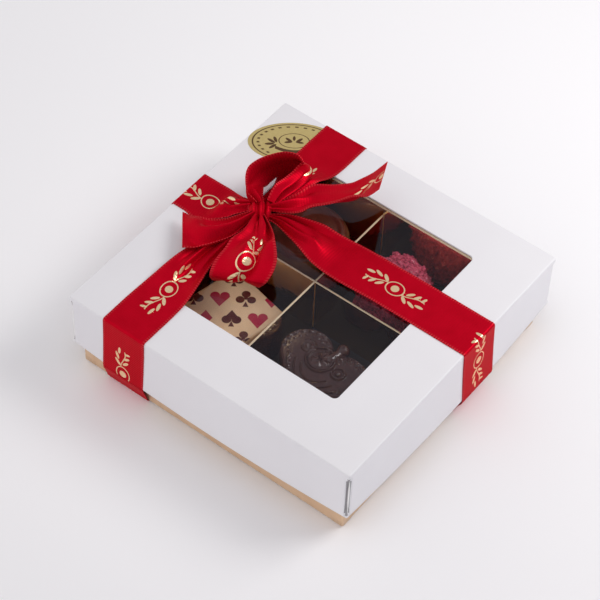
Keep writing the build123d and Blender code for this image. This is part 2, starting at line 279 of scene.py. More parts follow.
def white_card_finish():
    """Smooth coated white card, with a faint fibre and soft waves in its coating."""
    finish = Finish("white_card")
    where, _ = finish.place()
    clouds = finish.noise(where, 0.05, 2.0)
    fibre = finish.noise(where, 3.0, 4.0, 0.6)
    colour = finish.mix(clouds, (0.80, 0.785, 0.81), (0.85, 0.84, 0.86))
    rough = fibre * 0.12 + 0.33
    normal = finish.bump(fibre, 0.004 * MM)
    return finish.done(finish.shine(Base_Color=colour, Roughness=rough, Normal=normal))


def cut_card_finish():
    """Bare edge of the white card inside its corner seams."""
    finish = Finish("cut_card_edge")
    where, _ = finish.place()
    fibre = finish.noise(where, 6.0, 3.0)
    colour = finish.mix(fibre, (0.86, 0.85, 0.84), (0.95, 0.94, 0.93))
    return finish.done(finish.shine(Base_Color=colour, Roughness=0.8))


def seam_painted_shade_finish():
    """The lid's card inside its corner seams, painted grey as shade between the doubled walls."""
    finish = Finish("seam_painted_shade")
    where, _ = finish.place()
    fibre = finish.noise(where, 2.0, 3.0)
    colour = finish.mix(fibre, (0.26, 0.25, 0.26), (0.46, 0.45, 0.46))
    return finish.done(finish.shine(Base_Color=colour, Roughness=0.85))


def brown_card_finish():
    """Golden brown card with a metallic coat, as on the tray's outside."""
    finish = Finish("golden_brown_card")
    where, _ = finish.place()
    clouds = finish.noise(where, 0.12, 3.0)
    fibre = finish.noise(where, 4.0, 4.0, 0.65)
    colour = finish.mix(clouds, (0.66, 0.42, 0.24), (0.82, 0.60, 0.40))
    rough = fibre * 0.2 + 0.28
    normal = finish.bump(fibre, 0.01 * MM)
    shader = finish.shine(Base_Color=colour, Metallic=0.35, Roughness=rough, Normal=normal)
    return finish.done(shader)


def foil_card_finish():
    """Mirror-bright gold foil laid on card, with faint waves where the glue pulls it."""
    finish = Finish("gold_foil_card")
    where, _ = finish.place()
    waves = finish.noise(where, 0.18, 2.0)
    grain = finish.noise(where, 2.5, 3.0)
    colour = finish.mix(waves, (0.86, 0.60, 0.30), (0.93, 0.71, 0.42))
    rough = grain * 0.06 + 0.07
    normal = finish.bump(waves, 0.12 * MM)
    return finish.done(finish.shine(Base_Color=colour, Metallic=1.0, Roughness=rough, Normal=normal))


def foil_edge_and_lit_ledge_finish():
    """Cut edge of the foil card: cream board with a gold burr. The ledge's top wears it too, paler and matt
    in place of mirror foil: a painted highlight for the light falling on it through the film.
    """
    finish = Finish("foil_card_edge_and_lit_ledge")
    where, _ = finish.place()
    grain = finish.noise(where, 1.2, 3.0)
    colour = finish.mix(grain, (0.86, 0.63, 0.37), (1.0, 0.86, 0.62))
    return finish.done(finish.shine(Base_Color=colour, Metallic=0.3, Roughness=0.38))


def liner_finish():
    """Matt dark pad with a fine pressed grain."""
    finish = Finish("dark_liner")
    where, _ = finish.place()
    grain = finish.noise(where, 2.2, 4.0, 0.7)
    colour = finish.mix(grain, (0.012, 0.012, 0.016), (0.03, 0.03, 0.036))
    normal = finish.bump(grain, 0.08 * MM)
    return finish.done(finish.shine(Base_Color=colour, Roughness=0.7, Normal=normal))


def film_finish():
    """Clear film: it passes light straight through and mirrors more at a shallow angle."""
    finish = Finish("clear_film")
    where, _ = finish.place()
    ripple = finish.noise(where, 0.06, 1.0)
    normal = finish.bump(ripple, 0.05 * MM)
    clear = finish.add("ShaderNodeBsdfTransparent", {}, {"Color": (0.97, 0.97, 0.975)})
    mirror = finish.shine(Base_Color=(0.90, 0.87, 1.0), Metallic=1.0, Roughness=0.03, Normal=normal)
    share = finish.add("ShaderNodeFresnel", {}, {"IOR": 1.46, "Normal": normal})
    inside = finish.add("ShaderNodeNewGeometry", output=6)
    share = share * (1.0 - inside)
    return finish.done(finish.add("ShaderNodeMixShader", {}, [share, clear, mirror]))


# The ribbon's foil print: a rosette between two sprigs, each half the other turned round.
# A leaf is its middle along and across, its turn in degrees, and its two half sizes.
PRINT_PITCH = 38.0
PRINT_REACH = 10.9
PRINT_LEAVES = (
    (4.3, 1.9, 40.0, 1.5, 0.55),
    (4.9, -0.9, -45.0, 1.4, 0.5),
    (6.9, 2.1, 20.0, 1.5, 0.5),
    (7.1, -1.2, -55.0, 1.35, 0.5),
    (9.3, 1.4, -5.0, 1.4, 0.48),
    (9.2, -1.5, -70.0, 1.1, 0.42),
)


def oval(x, y, middle_x, middle_y, turn, half_x, half_y):
    """Below 1 inside a turned oval."""
    c = math.cos(math.radians(turn))
    s = math.sin(math.radians(turn))
    across_x = (x - middle_x) * (c / half_x) + (y - middle_y) * (s / half_x)
    across_y = (y - middle_y) * (c / half_y) - (x - middle_x) * (s / half_y)
    return across_x * across_x + across_y * across_y


def foil_print(along, across):
    """1 on the printed foil and 0 off it."""
    shift = along % PRINT_PITCH - PRINT_PITCH / 2
    x = abs(shift)
    y = (across - RIBBON_WIDTH / 2) * shift.sign()
    rosette = oval(x, y, 0.0, 0.0, 0.0, 1.25, 1.25)
    mask = 1.0 - rosette.step(0.85, 1.05)
    ring = abs(oval(x, y, 0.0, 0.0, 0.0, 2.9, 2.4) - 1.0)
    mask = mask.most(1.0 - ring.step(0.10, 0.16))
    stem_line = abs(y - (x * 0.55).sine() * 0.8)
    stem = (1.0 - stem_line.step(0.12, 0.22)) * x.step(2.9, 3.0) * (1.0 - x.step(9.8, 10.0))
    mask = mask.most(stem)
    for leaf in PRINT_LEAVES:
        mask = mask.most(1.0 - oval(x, y, *leaf).step(0.8, 1.05))
    return mask


def satin_finish(name, rib_depth, roughness, sheen, printed):
    """Red satin ribbon: fine cross ribs, picot stitches along both edges with a painted highlight on their
    crests and painted shade between them, and a foil print.
    """
    finish = Finish(name)
    along, across = finish.along_across("ribbon")
    from_edge = RIBBON_WIDTH / 2 - abs(across - RIBBON_WIDTH / 2)
    ribs = (along * (2 * math.pi / 0.8)).sine() * 0.5 + 0.5
    threads = (across * (2 * math.pi / 0.6)).sine() * 0.5 + 0.5
    picot = 1.0 - from_edge.step(0.35, 0.95)
    where, _ = finish.place()
    clouds = finish.noise(where, 0.22, 3.0)
    mask = foil_print(*finish.along_across("print")) if printed else 0.0
    red = finish.mix(clouds, (0.47, 0.001, 0.011), (0.60, 0.002, 0.018))
    # Painted highlight on the crests of the picot stitches, then painted shade between them.
    red = finish.mix(picot * ribs * 0.35, red, (0.85, 0.10, 0.11))
    red = finish.mix(picot * (1.0 - ribs) * 0.3, red, (0.14, 0.0, 0.004))
    gold = finish.mix(clouds, (0.90, 0.60, 0.30), (1.0, 0.86, 0.58))
    colour = finish.mix(mask, red, gold)
    rough = (clouds * 0.12 + roughness) * (1.0 - mask) + mask * 0.22
    height = ribs * (picot * 2.2 + 1.0) * rib_depth + threads * (0.4 * rib_depth) + mask * 0.02
    normal = finish.bump(height, MM)
    shader = finish.shine(
        Base_Color=colour, Roughness=rough, Metallic=mask * (0.6 - sheen) + sheen, Normal=normal,
        Specular_IOR_Level=0.15, Specular_Tint=(1.0, 0.06, 0.08),
    )
    return finish.done(shader)


SUIT_PITCH = 7.6
SUIT_TURN = math.radians(35.8)


def suit_masks(x, y):
    """Heart, diamond, club and spade, each above 0 inside, on a cell from -0.5 to 0.5."""
    side = abs(x)
    lobes = 0.165 - oval(side, y, 0.155, 0.10, 0.0, 1.0, 1.0).maths("SQRT")
    flank = ((y + 0.36) * 0.78 - side).least(0.09 - y)
    heart = lobes.most(flank)
    diamond = (1.0 - side / 0.24 - abs(y) / 0.33) * 0.2
    low_lobes = 0.165 - oval(side, y, 0.155, -0.04, 0.0, 1.0, 1.0).maths("SQRT")
    point = ((0.36 - y) * 0.74 - side).least(y + 0.03)
    foot = ((y * -0.42) - 0.03 - side).least(y + 0.33).least(0.0 - y)
    spade = low_lobes.most(point).most(foot)
    leaves = 0.15 - oval(side, y, 0.18, -0.03, 0.0, 1.0, 1.0).maths("SQRT")
    crown = 0.15 - oval(side, y, 0.0, 0.2, 0.0, 1.0, 1.0).maths("SQRT")
    club = leaves.most(crown).most(foot).most(0.08 - oval(side, y, 0.0, 0.04, 0.0, 1.0, 1.0).maths("SQRT"))
    return heart, diamond, club, spade


def suit_tile_finish():
    """Cream chocolate with card suits printed in rows on its top."""
    finish = Finish("cream_chocolate")
    where, (x, y, z) = finish.place()
    c = math.cos(SUIT_TURN) / SUIT_PITCH
    s = math.sin(SUIT_TURN) / SUIT_PITCH
    column = x * c + y * s + 40.12
    row = y * c - x * s + 40.38
    column = column + (row.floor() % 2.0) * 0.5
    kind = (column.floor() + row.floor() * 2.0) % 4.0
    masks = suit_masks((column % 1.0 - 0.5) * 0.82, (row % 1.0 - 0.5) * 0.82)
    red = masks[0].step(0.0, 0.02) * kind.equals(0.0)
    red = red.most(masks[1].step(0.0, 0.02) * kind.equals(2.0))
    dark = masks[2].step(0.0, 0.02) * kind.equals(1.0)
    dark = dark.most(masks[3].step(0.0, 0.02) * kind.equals(3.0))
    clouds = finish.noise(where, 0.35, 3.0)
    top = z.step(TILE_HIGH[2] - 1.0, TILE_HIGH[2] - 0.5)
    cream = finish.mix(clouds, (0.86, 0.58, 0.34), (0.98, 0.75, 0.48))
    patchy = clouds * 0.15 + 0.9
    colour = finish.mix(red * top * patchy, cream, (0.48, 0.015, 0.06))
    colour = finish.mix(dark * top * patchy, colour, (0.085, 0.008, 0.008))
    normal = finish.bump(clouds, 0.15 * MM)
    return finish.done(finish.shine(Base_Color=colour, Roughness=0.34, Normal=normal))


def dark_chocolate_finish():
    """Tempered dark chocolate with a dusty bloom in patches."""
    finish = Finish("dark_chocolate")
    where, _ = finish.place()
    clouds = finish.noise(where, 0.5, 4.0)
    fine = finish.noise(where, 0.9, 3.0)
    colour = finish.mix(clouds, (0.026, 0.008, 0.007), (0.075, 0.028, 0.023))
    rough = clouds * 0.14 + 0.08
    normal = finish.bump(fine, 0.22 * MM)
    return finish.done(finish.shine(Base_Color=colour, Roughness=rough, Normal=normal))


def milk_chocolate_finish():
    """Milk chocolate, darker and redder on its dished top than on its side."""
    finish = Finish("milk_chocolate")
    where, (_, _, z) = finish.place()
    clouds = finish.noise(where, 0.4, 3.0)
    top = z.step(DISC_HIGH[2] - 1.6, DISC_HIGH[2] - 0.4)
    side = finish.mix(clouds, (0.25, 0.10, 0.04), (0.36, 0.16, 0.07))
    crown = finish.mix(clouds, (0.11, 0.022, 0.014), (0.17, 0.04, 0.025))
    colour = finish.mix(top, side, crown)
    normal = finish.bump(clouds, 0.1 * MM)
    return finish.done(finish.shine(Base_Color=colour, Roughness=0.3, Normal=normal))


def raspberry_finish(name, pale):
    """Freeze-dried raspberry crumb: pink flesh with darker pits and pale sugar."""
    finish = Finish(name)
    where, _ = finish.place()
    patches = finish.noise(where, 0.9, 4.0, 0.65)
    grain = finish.noise(where, 5.0, 4.0, 0.7)
    stops = [(0.3, (0.24, 0.012, 0.035)), (0.55, (0.66, 0.07, 0.14)), (0.85, pale)]
    colour = finish.add("ShaderNodeValToRGB", {"stops": stops}, [patches])
    normal = finish.bump(grain + patches, 0.3 * MM)
    return finish.done(finish.shine(Base_Color=colour, Roughness=0.75, Normal=normal))


# A leaf of the label's sprigs, mirrored to its other half: its middle along and up, its turn in
# degrees, and its two half sizes.
LABEL_LEAVES = (
    (1.6, 0.9, 40.0, 1.3, 0.5),
    (1.7, 0.0, -10.0, 1.3, 0.45),
    (0.0, 1.6, 90.0, 1.0, 0.45),
    (5.7, 0.9, 70.0, 1.3, 0.5),
    (6.9, 0.3, 35.0, 1.5, 0.5),
    (7.4, -1.0, -5.0, 1.5, 0.5),
    (6.4, -2.0, -40.0, 1.4, 0.5),
)


def label_finish():
    """Gold-toned paper label: a dark ring, a ring of dots, a small oval with a sprig in it, and a
    garland below that ends in a sprig at both sides."""
    finish = Finish("label_paper")
    where, (x, y, _) = finish.place()
    middle = (LABEL_LOW + LABEL_HIGH) / 2
    c = math.cos(LABEL_TURN)
    s = math.sin(LABEL_TURN)
    along = (x - middle[0]) * c + (y - middle[1]) * s
    up = (y - middle[1]) * c - (x - middle[0]) * s
    reach = oval(along, up, 0.0, 0.0, 0.0, *LABEL_HALF).maths("SQRT")
    ink = 1.0 - abs(reach - 0.90).step(0.012, 0.022)
    inner = oval(along, up, 0.0, 0.6, 0.0, 4.6, 3.0).maths("SQRT")
    ink = ink.most(1.0 - abs(inner - 1.0).step(0.02, 0.05))
    angle = up.maths("ARCTAN2", along * (LABEL_HALF[1] / LABEL_HALF[0]))
    beads = (angle * 26.0).sine().step(0.1, 0.5) * (1.0 - abs(reach - 0.78).step(0.02, 0.04))
    ink = ink.most(beads)
    side = abs(along)
    for leaf in LABEL_LEAVES:
        ink = ink.most(1.0 - oval(side, up, *leaf).step(0.8, 1.05))
    garland = abs(up + 3.9 - side * side * 0.05)
    ink = ink.most((1.0 - garland.step(0.55, 0.7)) * (1.0 - side.step(5.6, 5.8)))
    grain = finish.noise(where, 1.5, 3.0)
    gold = finish.mix(grain, (0.54, 0.42, 0.15), (0.66, 0.53, 0.23))
    colour = finish.mix(ink * 0.95, gold, (0.085, 0.035, 0.012))
    rough = grain * 0.1 + 0.35
    return finish.done(finish.shine(Base_Color=colour, Metallic=0.35, Roughness=rough))


def floor_finish():
    """Plain pale paper. The camera and reflections see it nearly white, with a painted shade that makes it a
    little dimmer toward the right."""
    finish = Finish("pale_floor")
    where, (x, _, _) = finish.place()
    grain = finish.noise(where, 0.02, 2.0)
    colour = finish.mix(grain, (0.88, 0.875, 0.915), (0.90, 0.895, 0.935))
    seen = finish.add("ShaderNodeLightPath", output=0).most(finish.add("ShaderNodeLightPath", output=3))
    # Painted shade: the seen colour darkens a little toward the right.
    pale = finish.mix(x.step(-90.0, 140.0), (0.995, 0.99, 1.0), (0.89, 0.88, 0.895))
    colour = finish.mix(seen, colour, pale)
    return finish.done(finish.shine(Base_Color=colour, Roughness=0.65))


def grid_faces(rows, columns, wrap_rows=False, wrap_columns=False):
    """Four-cornered faces over points numbered row by row."""
    row, column = np.meshgrid(
        np.arange(rows if wrap_rows else rows - 1),
        np.arange(columns if wrap_columns else columns - 1),
        indexing="ij",
    )
    below = (row + 1) % rows * columns
    row = row * columns
    right = (column + 1) % columns
    corners = [row + column, row + right, below + right, below + column]
    return np.stack(corners, axis=-1).reshape(-1, 4)


def capped_faces(rows, columns):
    """Faces over rows of closed rings, with a fan to one point before the first and after the last."""
    ring = np.arange(columns)
    after = (ring + 1) % columns
    start = rows * columns
    last = (rows - 1) * columns
    faces = grid_faces(rows, columns, wrap_columns=True).tolist()
    faces += np.stack([np.full(columns, start), after, ring], axis=-1).tolist()
    faces += np.stack([np.full(columns, start + 1), last + ring, last + after], axis=-1).tolist()
    return faces


def make_piece(name, points, faces, finishes, body, face_slots=None, crease=50.0, ribbon_map=None):
    """Mesh object from points in millimetres, facing outwards, and smooth except where faces meet
    at over crease degrees."""
    mesh = bpy.data.meshes.new(name)
    mesh.from_pydata((np.asarray(points) * MM).tolist(), [], [list(face) for face in faces])
    for material in finishes:
        mesh.materials.append(material)
    if face_slots is not None:
        mesh.polygons.foreach_set("material_index", np.asarray(face_slots, dtype=np.int32))
    if ribbon_map is not None:
        corner_points = np.empty(len(mesh.loops), dtype=np.int32)
        mesh.loops.foreach_get("vertex_index", corner_points)
        for uv_map, columns in (("ribbon", [0, 1]), ("print", [2, 1])):
            layer = mesh.uv_layers.new(name=uv_map)
            places = ribbon_map[corner_points][:, columns] * MM
            layer.data.foreach_set("uv", places.astype(np.float32).ravel())
    shape = bmesh.new()
    shape.from_mesh(mesh)
    bmesh.ops.recalc_face_normals(shape, faces=shape.faces)
    shape.to_mesh(mesh)
    shape.free()
    mesh.shade_smooth()
    mesh.set_sharp_from_angle(angle=math.radians(crease))
    piece = bpy.data.objects.new(name, mesh)
    bpy.context.collection.objects.link(piece)
    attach(piece, body)
    return piece


def rounded_ring(half_x, half_y, corner, centre, places, turns):
    """Closed ring round a rectangle: straight sides, sampled at places from -1 to 1, and an arc of
    the corner's radius after each, sampled at turns from 0 to 1. It runs right-handed from the
    front left corner, and gives (point, outward normal) rows."""
    points = []
    normals = []
    ways = [(0, -1), (1, 0), (0, 1), (-1, 0)]
    for (out_x, out_y), run, reach in zip(ways, [half_x, half_y] * 2, [half_y, half_x] * 2):
        out = np.array([out_x, out_y], dtype=float)
        way = np.array([-out_y, out_x], dtype=float)
        along = (run - corner) * places
        points.append(out * reach + way * along[:, None])
        normals.append(np.tile(out, (len(places), 1)))
        angle = turns[:, None] * (math.pi / 2)
        normal = out * np.cos(angle) + way * np.sin(angle)
        points.append(out * (reach - corner) + way * (run - corner) + normal * corner)
        normals.append(normal)
    return np.concatenate(points) + np.array(centre), np.concatenate(normals)


# Within this distance of a corner, places along a side are close together.
CORNER_RUN = 5.0


def corner_places(from_end, half, middle):
    """Places along a side from -1 to 1: those distances from both of its ends, and an even run of
    middle places between."""
    near = np.array(from_end) / half
    inside = np.linspace(-1 + CORNER_RUN / half, 1 - CORNER_RUN / half, middle)
    return np.concatenate([-1 + near, inside, (1 - near)[::-1]])


# Places along the sides of the lid and the platform, whose half sides are near SIDE_RUN.
SIDE_RUN = 50.0
SIDE_PLACES = corner_places((0.0, 0.15, 0.35, 0.6, 0.9, 1.3, 1.8, 2.6), SIDE_RUN, 21)
CORNER_TURNS = np.linspace(0, 1, 9)[1:-1]
RING_SIDE = len(SIDE_PLACES) + len(CORNER_TURNS)


def lid_rings():
    """The lid's closed section, carried round its square: window edge, top card, rounded fold,
    bowed skirt, folded lower edge, inner wall and underside, as (rows, ring, 3) points. Each
    corner has an open seam, a dent whose depth follows the sine of its height, to SEAM_POWER."""
    bows = np.zeros(4 * RING_SIDE)
    seam_distance = np.zeros(4 * RING_SIDE)
    arc_length = CORNER_RADIUS * math.pi / 2
    for side in range(4):
        first = side * RING_SIDE
        after_sides = first + len(SIDE_PLACES)
        bows[first:after_sides] = SKIRT_BOWS[side] * (1 - SIDE_PLACES ** 2)
        seam_distance[after_sides:first + RING_SIDE] = np.abs(CORNER_TURNS - 0.5) * arc_length
        from_end = (1 - np.abs(SIDE_PLACES)) * (HALF_LID - CORNER_RADIUS) + arc_length / 2
        seam_distance[first:after_sides] = from_end

    def outer(inset, level, bowed=0.0, seam=0.0):
        corner = max(CORNER_RADIUS - inset, 0.05)
        half = HALF_LID - inset
        ring, normal = rounded_ring(half, half, corner, (0, 0), SIDE_PLACES, CORNER_TURNS)
        dent = seam * np.clip((SEAM_REACH - seam_distance) / SEAM_SIDE, 0, 1)
        ring = ring + normal * (bows * bowed - dent)[:, None]
        return np.column_stack([ring, np.full(len(ring), level)])

    def window(inset, level):
        half_x = (FILM_HIGH[0] - FILM_LOW[0]) / 2 - WINDOW_BORDER + inset
        half_y = (FILM_HIGH[1] - FILM_LOW[1]) / 2 - WINDOW_BORDER + inset
        centre = (FILM_LOW + FILM_HIGH)[:2] / 2
        ring, _ = rounded_ring(half_x, half_y, WINDOW_CORNER + inset, centre, SIDE_PLACES, CORNER_TURNS)
        return np.column_stack([ring, np.full(len(ring), level)])

    rows = [window(0.0, LID_TOP - LID_CARD), window(0.0, LID_TOP - WINDOW_BEVEL)]
    rows += [window(0.05, LID_TOP - 0.04), window(WINDOW_BEVEL, LID_TOP)]
    edge_of_window = window(0.5, LID_TOP)
    edge_of_fold = outer(FOLD_RADIUS, LID_TOP)
    rows += [edge_of_window + (edge_of_fold - edge_of_window) * share for share in np.linspace(0, 1, 7)]
    for angle in np.linspace(0, math.pi / 2, 7)[1:]:
        inset = FOLD_RADIUS * (1 - math.sin(angle))
        rows.append(outer(inset, LID_TOP - FOLD_RADIUS * (1 - math.cos(angle))))
    depth = LID_TOP - LID_BOTTOM
    levels = np.concatenate([[0.9, 1.3, 1.7, 2.1, 2.6], np.linspace(3.2, depth - 0.6, 15)])
    for down in levels:
        opening = math.sin(math.pi * min(max((down - 1.3) / (depth - 0.6), 0), 1)) ** SEAM_POWER
        rows.append(outer(0.0, LID_TOP - down, (down / depth) ** BOW_POWER, SEAM_DEPTH * opening))
    for angle in np.linspace(0, math.pi, 7)[1:]:
        inset = SKIRT_WALL / 2 * (1 - math.cos(angle))
        rows.append(outer(inset, LID_BOTTOM + SKIRT_WALL / 2 * (1 - math.sin(angle)), 1.0, 0.0))
    for down in np.linspace(depth - 1.0, LID_CARD, 8):
        rows.append(outer(SKIRT_WALL, LID_TOP - down, (down / depth) ** BOW_POWER))
    return np.array(rows)


# Rows of the lid's section between which its outer skirt lies.
SKIRT_ROWS = (16, 36)


def lid_with_seams():
    """The lid's closed section and, standing in each open corner seam, the thin edge of the card
    tab behind it: an upright strip whose width and standing-out follow the sine of its height, to
    SEAM_POWER."""
    rings = lid_rings()
    rows, columns, _ = rings.shape
    points = [rings.reshape(-1, 3)]
    faces = grid_faces(rows, columns, wrap_rows=True, wrap_columns=True)
    middles = np.abs(rings.reshape(-1, 3)[faces].mean(axis=1))
    row = np.arange(len(faces)) // columns
    on_skirt = (row > SKIRT_ROWS[0]) & (row < SKIRT_ROWS[1])
    # Faces sunk into the corner seams take the grey finish: painted shade between the doubled walls.
    painted_shade_faces = on_skirt & (middles[:, :2].max(axis=1) < HALF_LID - 0.35)
    slots = [np.where(painted_shade_faces, 2, 0)]
    all_faces = [faces]
    count = rows * columns
    levels = np.linspace(0, 1, 13)
    around = np.linspace(0, 2 * math.pi, 9)[:-1]
    strip_plan = capped_faces(len(levels), len(around))
    for sign_x, sign_y in ((-1, -1), (1, -1), (1, 1), (-1, 1)):
        out = np.array([sign_x, sign_y]) / math.sqrt(2)
        way = np.array([-out[1], out[0]])
        middle = out * (math.sqrt(2) * (HALF_LID - CORNER_RADIUS) + CORNER_RADIUS - 0.95)
        level, angle = np.meshgrid(levels, around, indexing="ij")
        swell = np.sin(math.pi * np.clip(level, 0.04, 0.96)) ** SEAM_POWER
        plan = middle + way * (0.28 + 0.26 * swell * np.cos(angle))[..., None]
        plan = plan + out * (0.55 * swell * np.sin(angle))[..., None]
        height = LID_TOP - 1.9 - level * (LID_TOP - LID_BOTTOM - 2.6)
        strip = np.concatenate([plan, height[..., None]], axis=-1).reshape(-1, 3)
        ends = [[*middle, LID_TOP - 1.8], [*middle, LID_BOTTOM + 0.6]]
        points.append(np.concatenate([strip, ends]))
        strip_faces = [[corner + count for corner in face] for face in strip_plan]
        all_faces.append(strip_faces)
        slots.append(np.ones(len(strip_faces), dtype=int))
        count += len(strip) + 2
    faces = [list(face) for part in all_faces for face in part]
    return np.concatenate(points), faces, np.concatenate(slots)


def tray_shell():
    """Open card tray: rings from the middle of its floor out, up the inner wall, over the rim,
    down the outer wall and under to the middle. The corner tabs stand proud of the wall by a
    step near each corner."""
    centre = (TRAY_LOW + TRAY_HIGH)[:2] / 2
    half = (TRAY_HIGH[0] - TRAY_LOW[0]) / 2
    places = corner_places((0.0, 0.4, 1.0, 2.0, 3.2, 3.5, 4.5), half, 13)
    on_tab = (1 - np.abs(places)) * half < TAB_WIDTH
    tab = np.tile(np.concatenate([on_tab, np.ones(len(CORNER_TURNS))]), 4)

    def ring(inset, level, proud=0.0):
        corner = max(CORNER_RADIUS - inset, 0.1)
        plan, normal = rounded_ring(half - inset, half - inset, corner, centre, places, CORNER_TURNS)
        plan = plan + normal * (tab * proud)[:, None]
        return np.column_stack([plan, np.full(len(plan), level)])

    floor = TRAY_LOW[2] + TRAY_FLOOR
    bottom = TRAY_LOW[2]
    rim = TRAY_HIGH[2]
    rows = [ring(share * half, floor) for share in (0.8, 0.4, 0.1)]
    rows += [ring(TRAY_WALL, floor)]
    rows += [ring(TRAY_WALL, level) for level in np.linspace(floor + 2.0, rim - 0.5, 6)]
    for angle in np.linspace(0, math.pi, 7):
        inset = TRAY_WALL / 2 * (1 + math.cos(angle))
        rows.append(ring(inset, rim - TRAY_WALL / 2 * (1 - math.sin(angle))))
    rows += [ring(0.0, level, TAB_PROUD) for level in np.linspace(rim - 1.2, bottom + TRAY_EDGE, 10)]
    for angle in (30, 60, 90):
        turn = math.radians(angle)
        rows.append(ring(TRAY_EDGE * (1 - math.cos(turn)), bottom + TRAY_EDGE * (1 - math.sin(turn))))
    rows += [ring(share * half, bottom) for share in (0.1, 0.4, 0.8)]
    rings = np.array(rows)
    middles = [[*centre, floor], [*centre, bottom]]
    points = np.concatenate([rings.reshape(-1, 3), middles])
    return points, capped_faces(*rings.shape[:2])


# Rows of the platform's section that are its ledge, from the outer fold to the well's rim.
# They wear the paler cut-edge finish in place of foil, a painted highlight.
LEDGE_TOP_ROWS = (7, 16)


def ledge_rings():
    """The foil platform's closed section, carried round it: outer wall up, a rounded fold, the
    ledge, the rounded rim of the well, its wall down, and back under."""
    outer_centre = (LEDGE_LOW + LEDGE_HIGH)[:2] / 2
    half = (LEDGE_HIGH[0] - LEDGE_LOW[0]) / 2
    well_half = WELL_SIDE / 2
    top = LEDGE_HIGH[2]
    low = LEDGE_LOW[2]
    turns = np.linspace(0, 1, 6)[1:-1]

    def outer(inset, level):
        side = half - inset
        plan, _ = rounded_ring(side, side, CORNER_RADIUS - inset / 2, outer_centre, SIDE_PLACES, turns)
        return np.column_stack([plan, np.full(len(plan), level)])

    def well(outset, level):
        side = well_half + outset
        plan, _ = rounded_ring(side, side, LEDGE_FOLD + outset / 2, WELL_CENTRE, SIDE_PLACES, turns)
        return np.column_stack([plan, np.full(len(plan), level)])

    rows = [outer(0.0, level) for level in np.linspace(low, top - LEDGE_FOLD, 5)]
    for turn in (0.5, 1.0, 1.57):
        rows.append(outer(LEDGE_FOLD * (1 - math.cos(turn)), top - LEDGE_FOLD * (1 - math.sin(turn))))
    rows += [outer(0.5, top) * (1 - share) + well(0.5, top) * share for share in np.linspace(0, 1, 5)]
    for turn in (0.4, 0.8, 1.2, 1.57):
        rows.append(well(LEDGE_FOLD * (1 - math.sin(turn)), top - LEDGE_FOLD * (1 - math.cos(turn))))
    rows += [well(0.0, level) for level in np.linspace(top - 2.0, low, 6)]
    rows += [well(LEDGE_CARD, low), well(LEDGE_CARD, top - LEDGE_CARD)]
    rows += [outer(LEDGE_CARD, top - LEDGE_CARD), outer(LEDGE_CARD, low)]
    return np.array(rows)


def card_plate(outline, thick, along_x, place):
    """Upright card cut to an outline of (along, up) points, with a small bevel round both faces:
    the outline at full size between two copies moved in by the bevel along each corner's middle.
    Gives points, faces and 1 for each face of its cut edge."""
    outline = np.array(outline, dtype=float)
    bevel = CARD_BEVEL
    before = outline - np.roll(outline, 1, axis=0)
    after = np.roll(outline, -1, axis=0) - outline
    before = before / np.linalg.norm(before, axis=1)[:, None]
    after = after / np.linalg.norm(after, axis=1)[:, None]
    inward_before = np.stack([-before[:, 1], before[:, 0]], axis=-1)
    inward_after = np.stack([-after[:, 1], after[:, 0]], axis=-1)
    small = outline + (inward_before + inward_after) * bevel
    half = thick / 2
    layers = [(small, -half), (outline, bevel - half), (outline, half - bevel), (small, half)]
    count = len(outline)
    rows = []
    for plan, off in layers:
        offs = np.full(count, off)
        if along_x:
            rows.append(np.column_stack([plan[:, 0], offs + place, plan[:, 1]]))
        else:
            rows.append(np.column_stack([offs + place, plan[:, 0], plan[:, 1]]))
    points = np.concatenate(rows)
    sides = grid_faces(4, count, wrap_columns=True).tolist()
    near = list(range(count))
    far = [3 * count + corner for corner in near]
    return points, sides + [near, far], [1] * len(sides) + [0, 0]


# Each band of ribbon is a list of cuts across it. A cut is the two points on the ribbon's
# edges, in X and Y with their height above the lid.
FRONT_BAND = [
    ((-27.6, 5.2, 3.6), (-24.8, 4.3, 3.6)),
    ((-29.7, 0.5, 2.6), (-25.2, -1.3, 2.6)),
    ((-32.3, -6.5, 1.4), (-25.2, -8.9, 1.6)),
    ((-34.4, -14.2, 0.7), (-24.9, -16.2, 1.1)),
    ((-35.9, -23.2, 0.25), (-23.3, -25.0, 0.6)),
    ((-36.6, -31.0, 0.15), (-22.3, -31.5, 0.2)),
]
BACK_BAND = [
    ((-27.6, 9.1, 3.6), (-25.1, 9.7, 3.6)),
    ((-29.6, 16.4, 1.6), (-22.6, 17.0, 1.6)),
    ((-32.2, 25.0, 0.5), (-20.5, 25.6, 0.4)),
    ((-33.6, 32.5, 0.15), (-19.4, 32.5, 0.15)),
]
LEFT_BAND = [
    ((-28.8, 8.5, 3.2), (-27.6, 5.6, 3.2)),
    ((-32.4, 9.2, 2.0), (-31.4, 2.6, 1.6)),
    ((-36.5, 10.3, 0.7), (-35.5, -1.0, 0.6)),
]
RIGHT_BAND = [
    ((-23.3, 7.4, 3.4), (-24.0, 6.0, 2.9)),
    ((-19.9, 10.1, 3.0), (-21.0, 6.5, 1.9)),
    ((-14.0, 13.2, 1.8), (-14.7, 5.5, 0.6)),
    ((-6.9, 15.9, 0.7), (-7.3, 3.5, 0.25)),
    ((1.5, 17.5, 0.2), (1.4, 2.6, 0.15)),
    ((18.0, 18.0, 0.15), (18.0, 3.0, 0.15)),
    ((32.0, 18.1, 0.15), (32.0, 3.1, 0.15)),
]
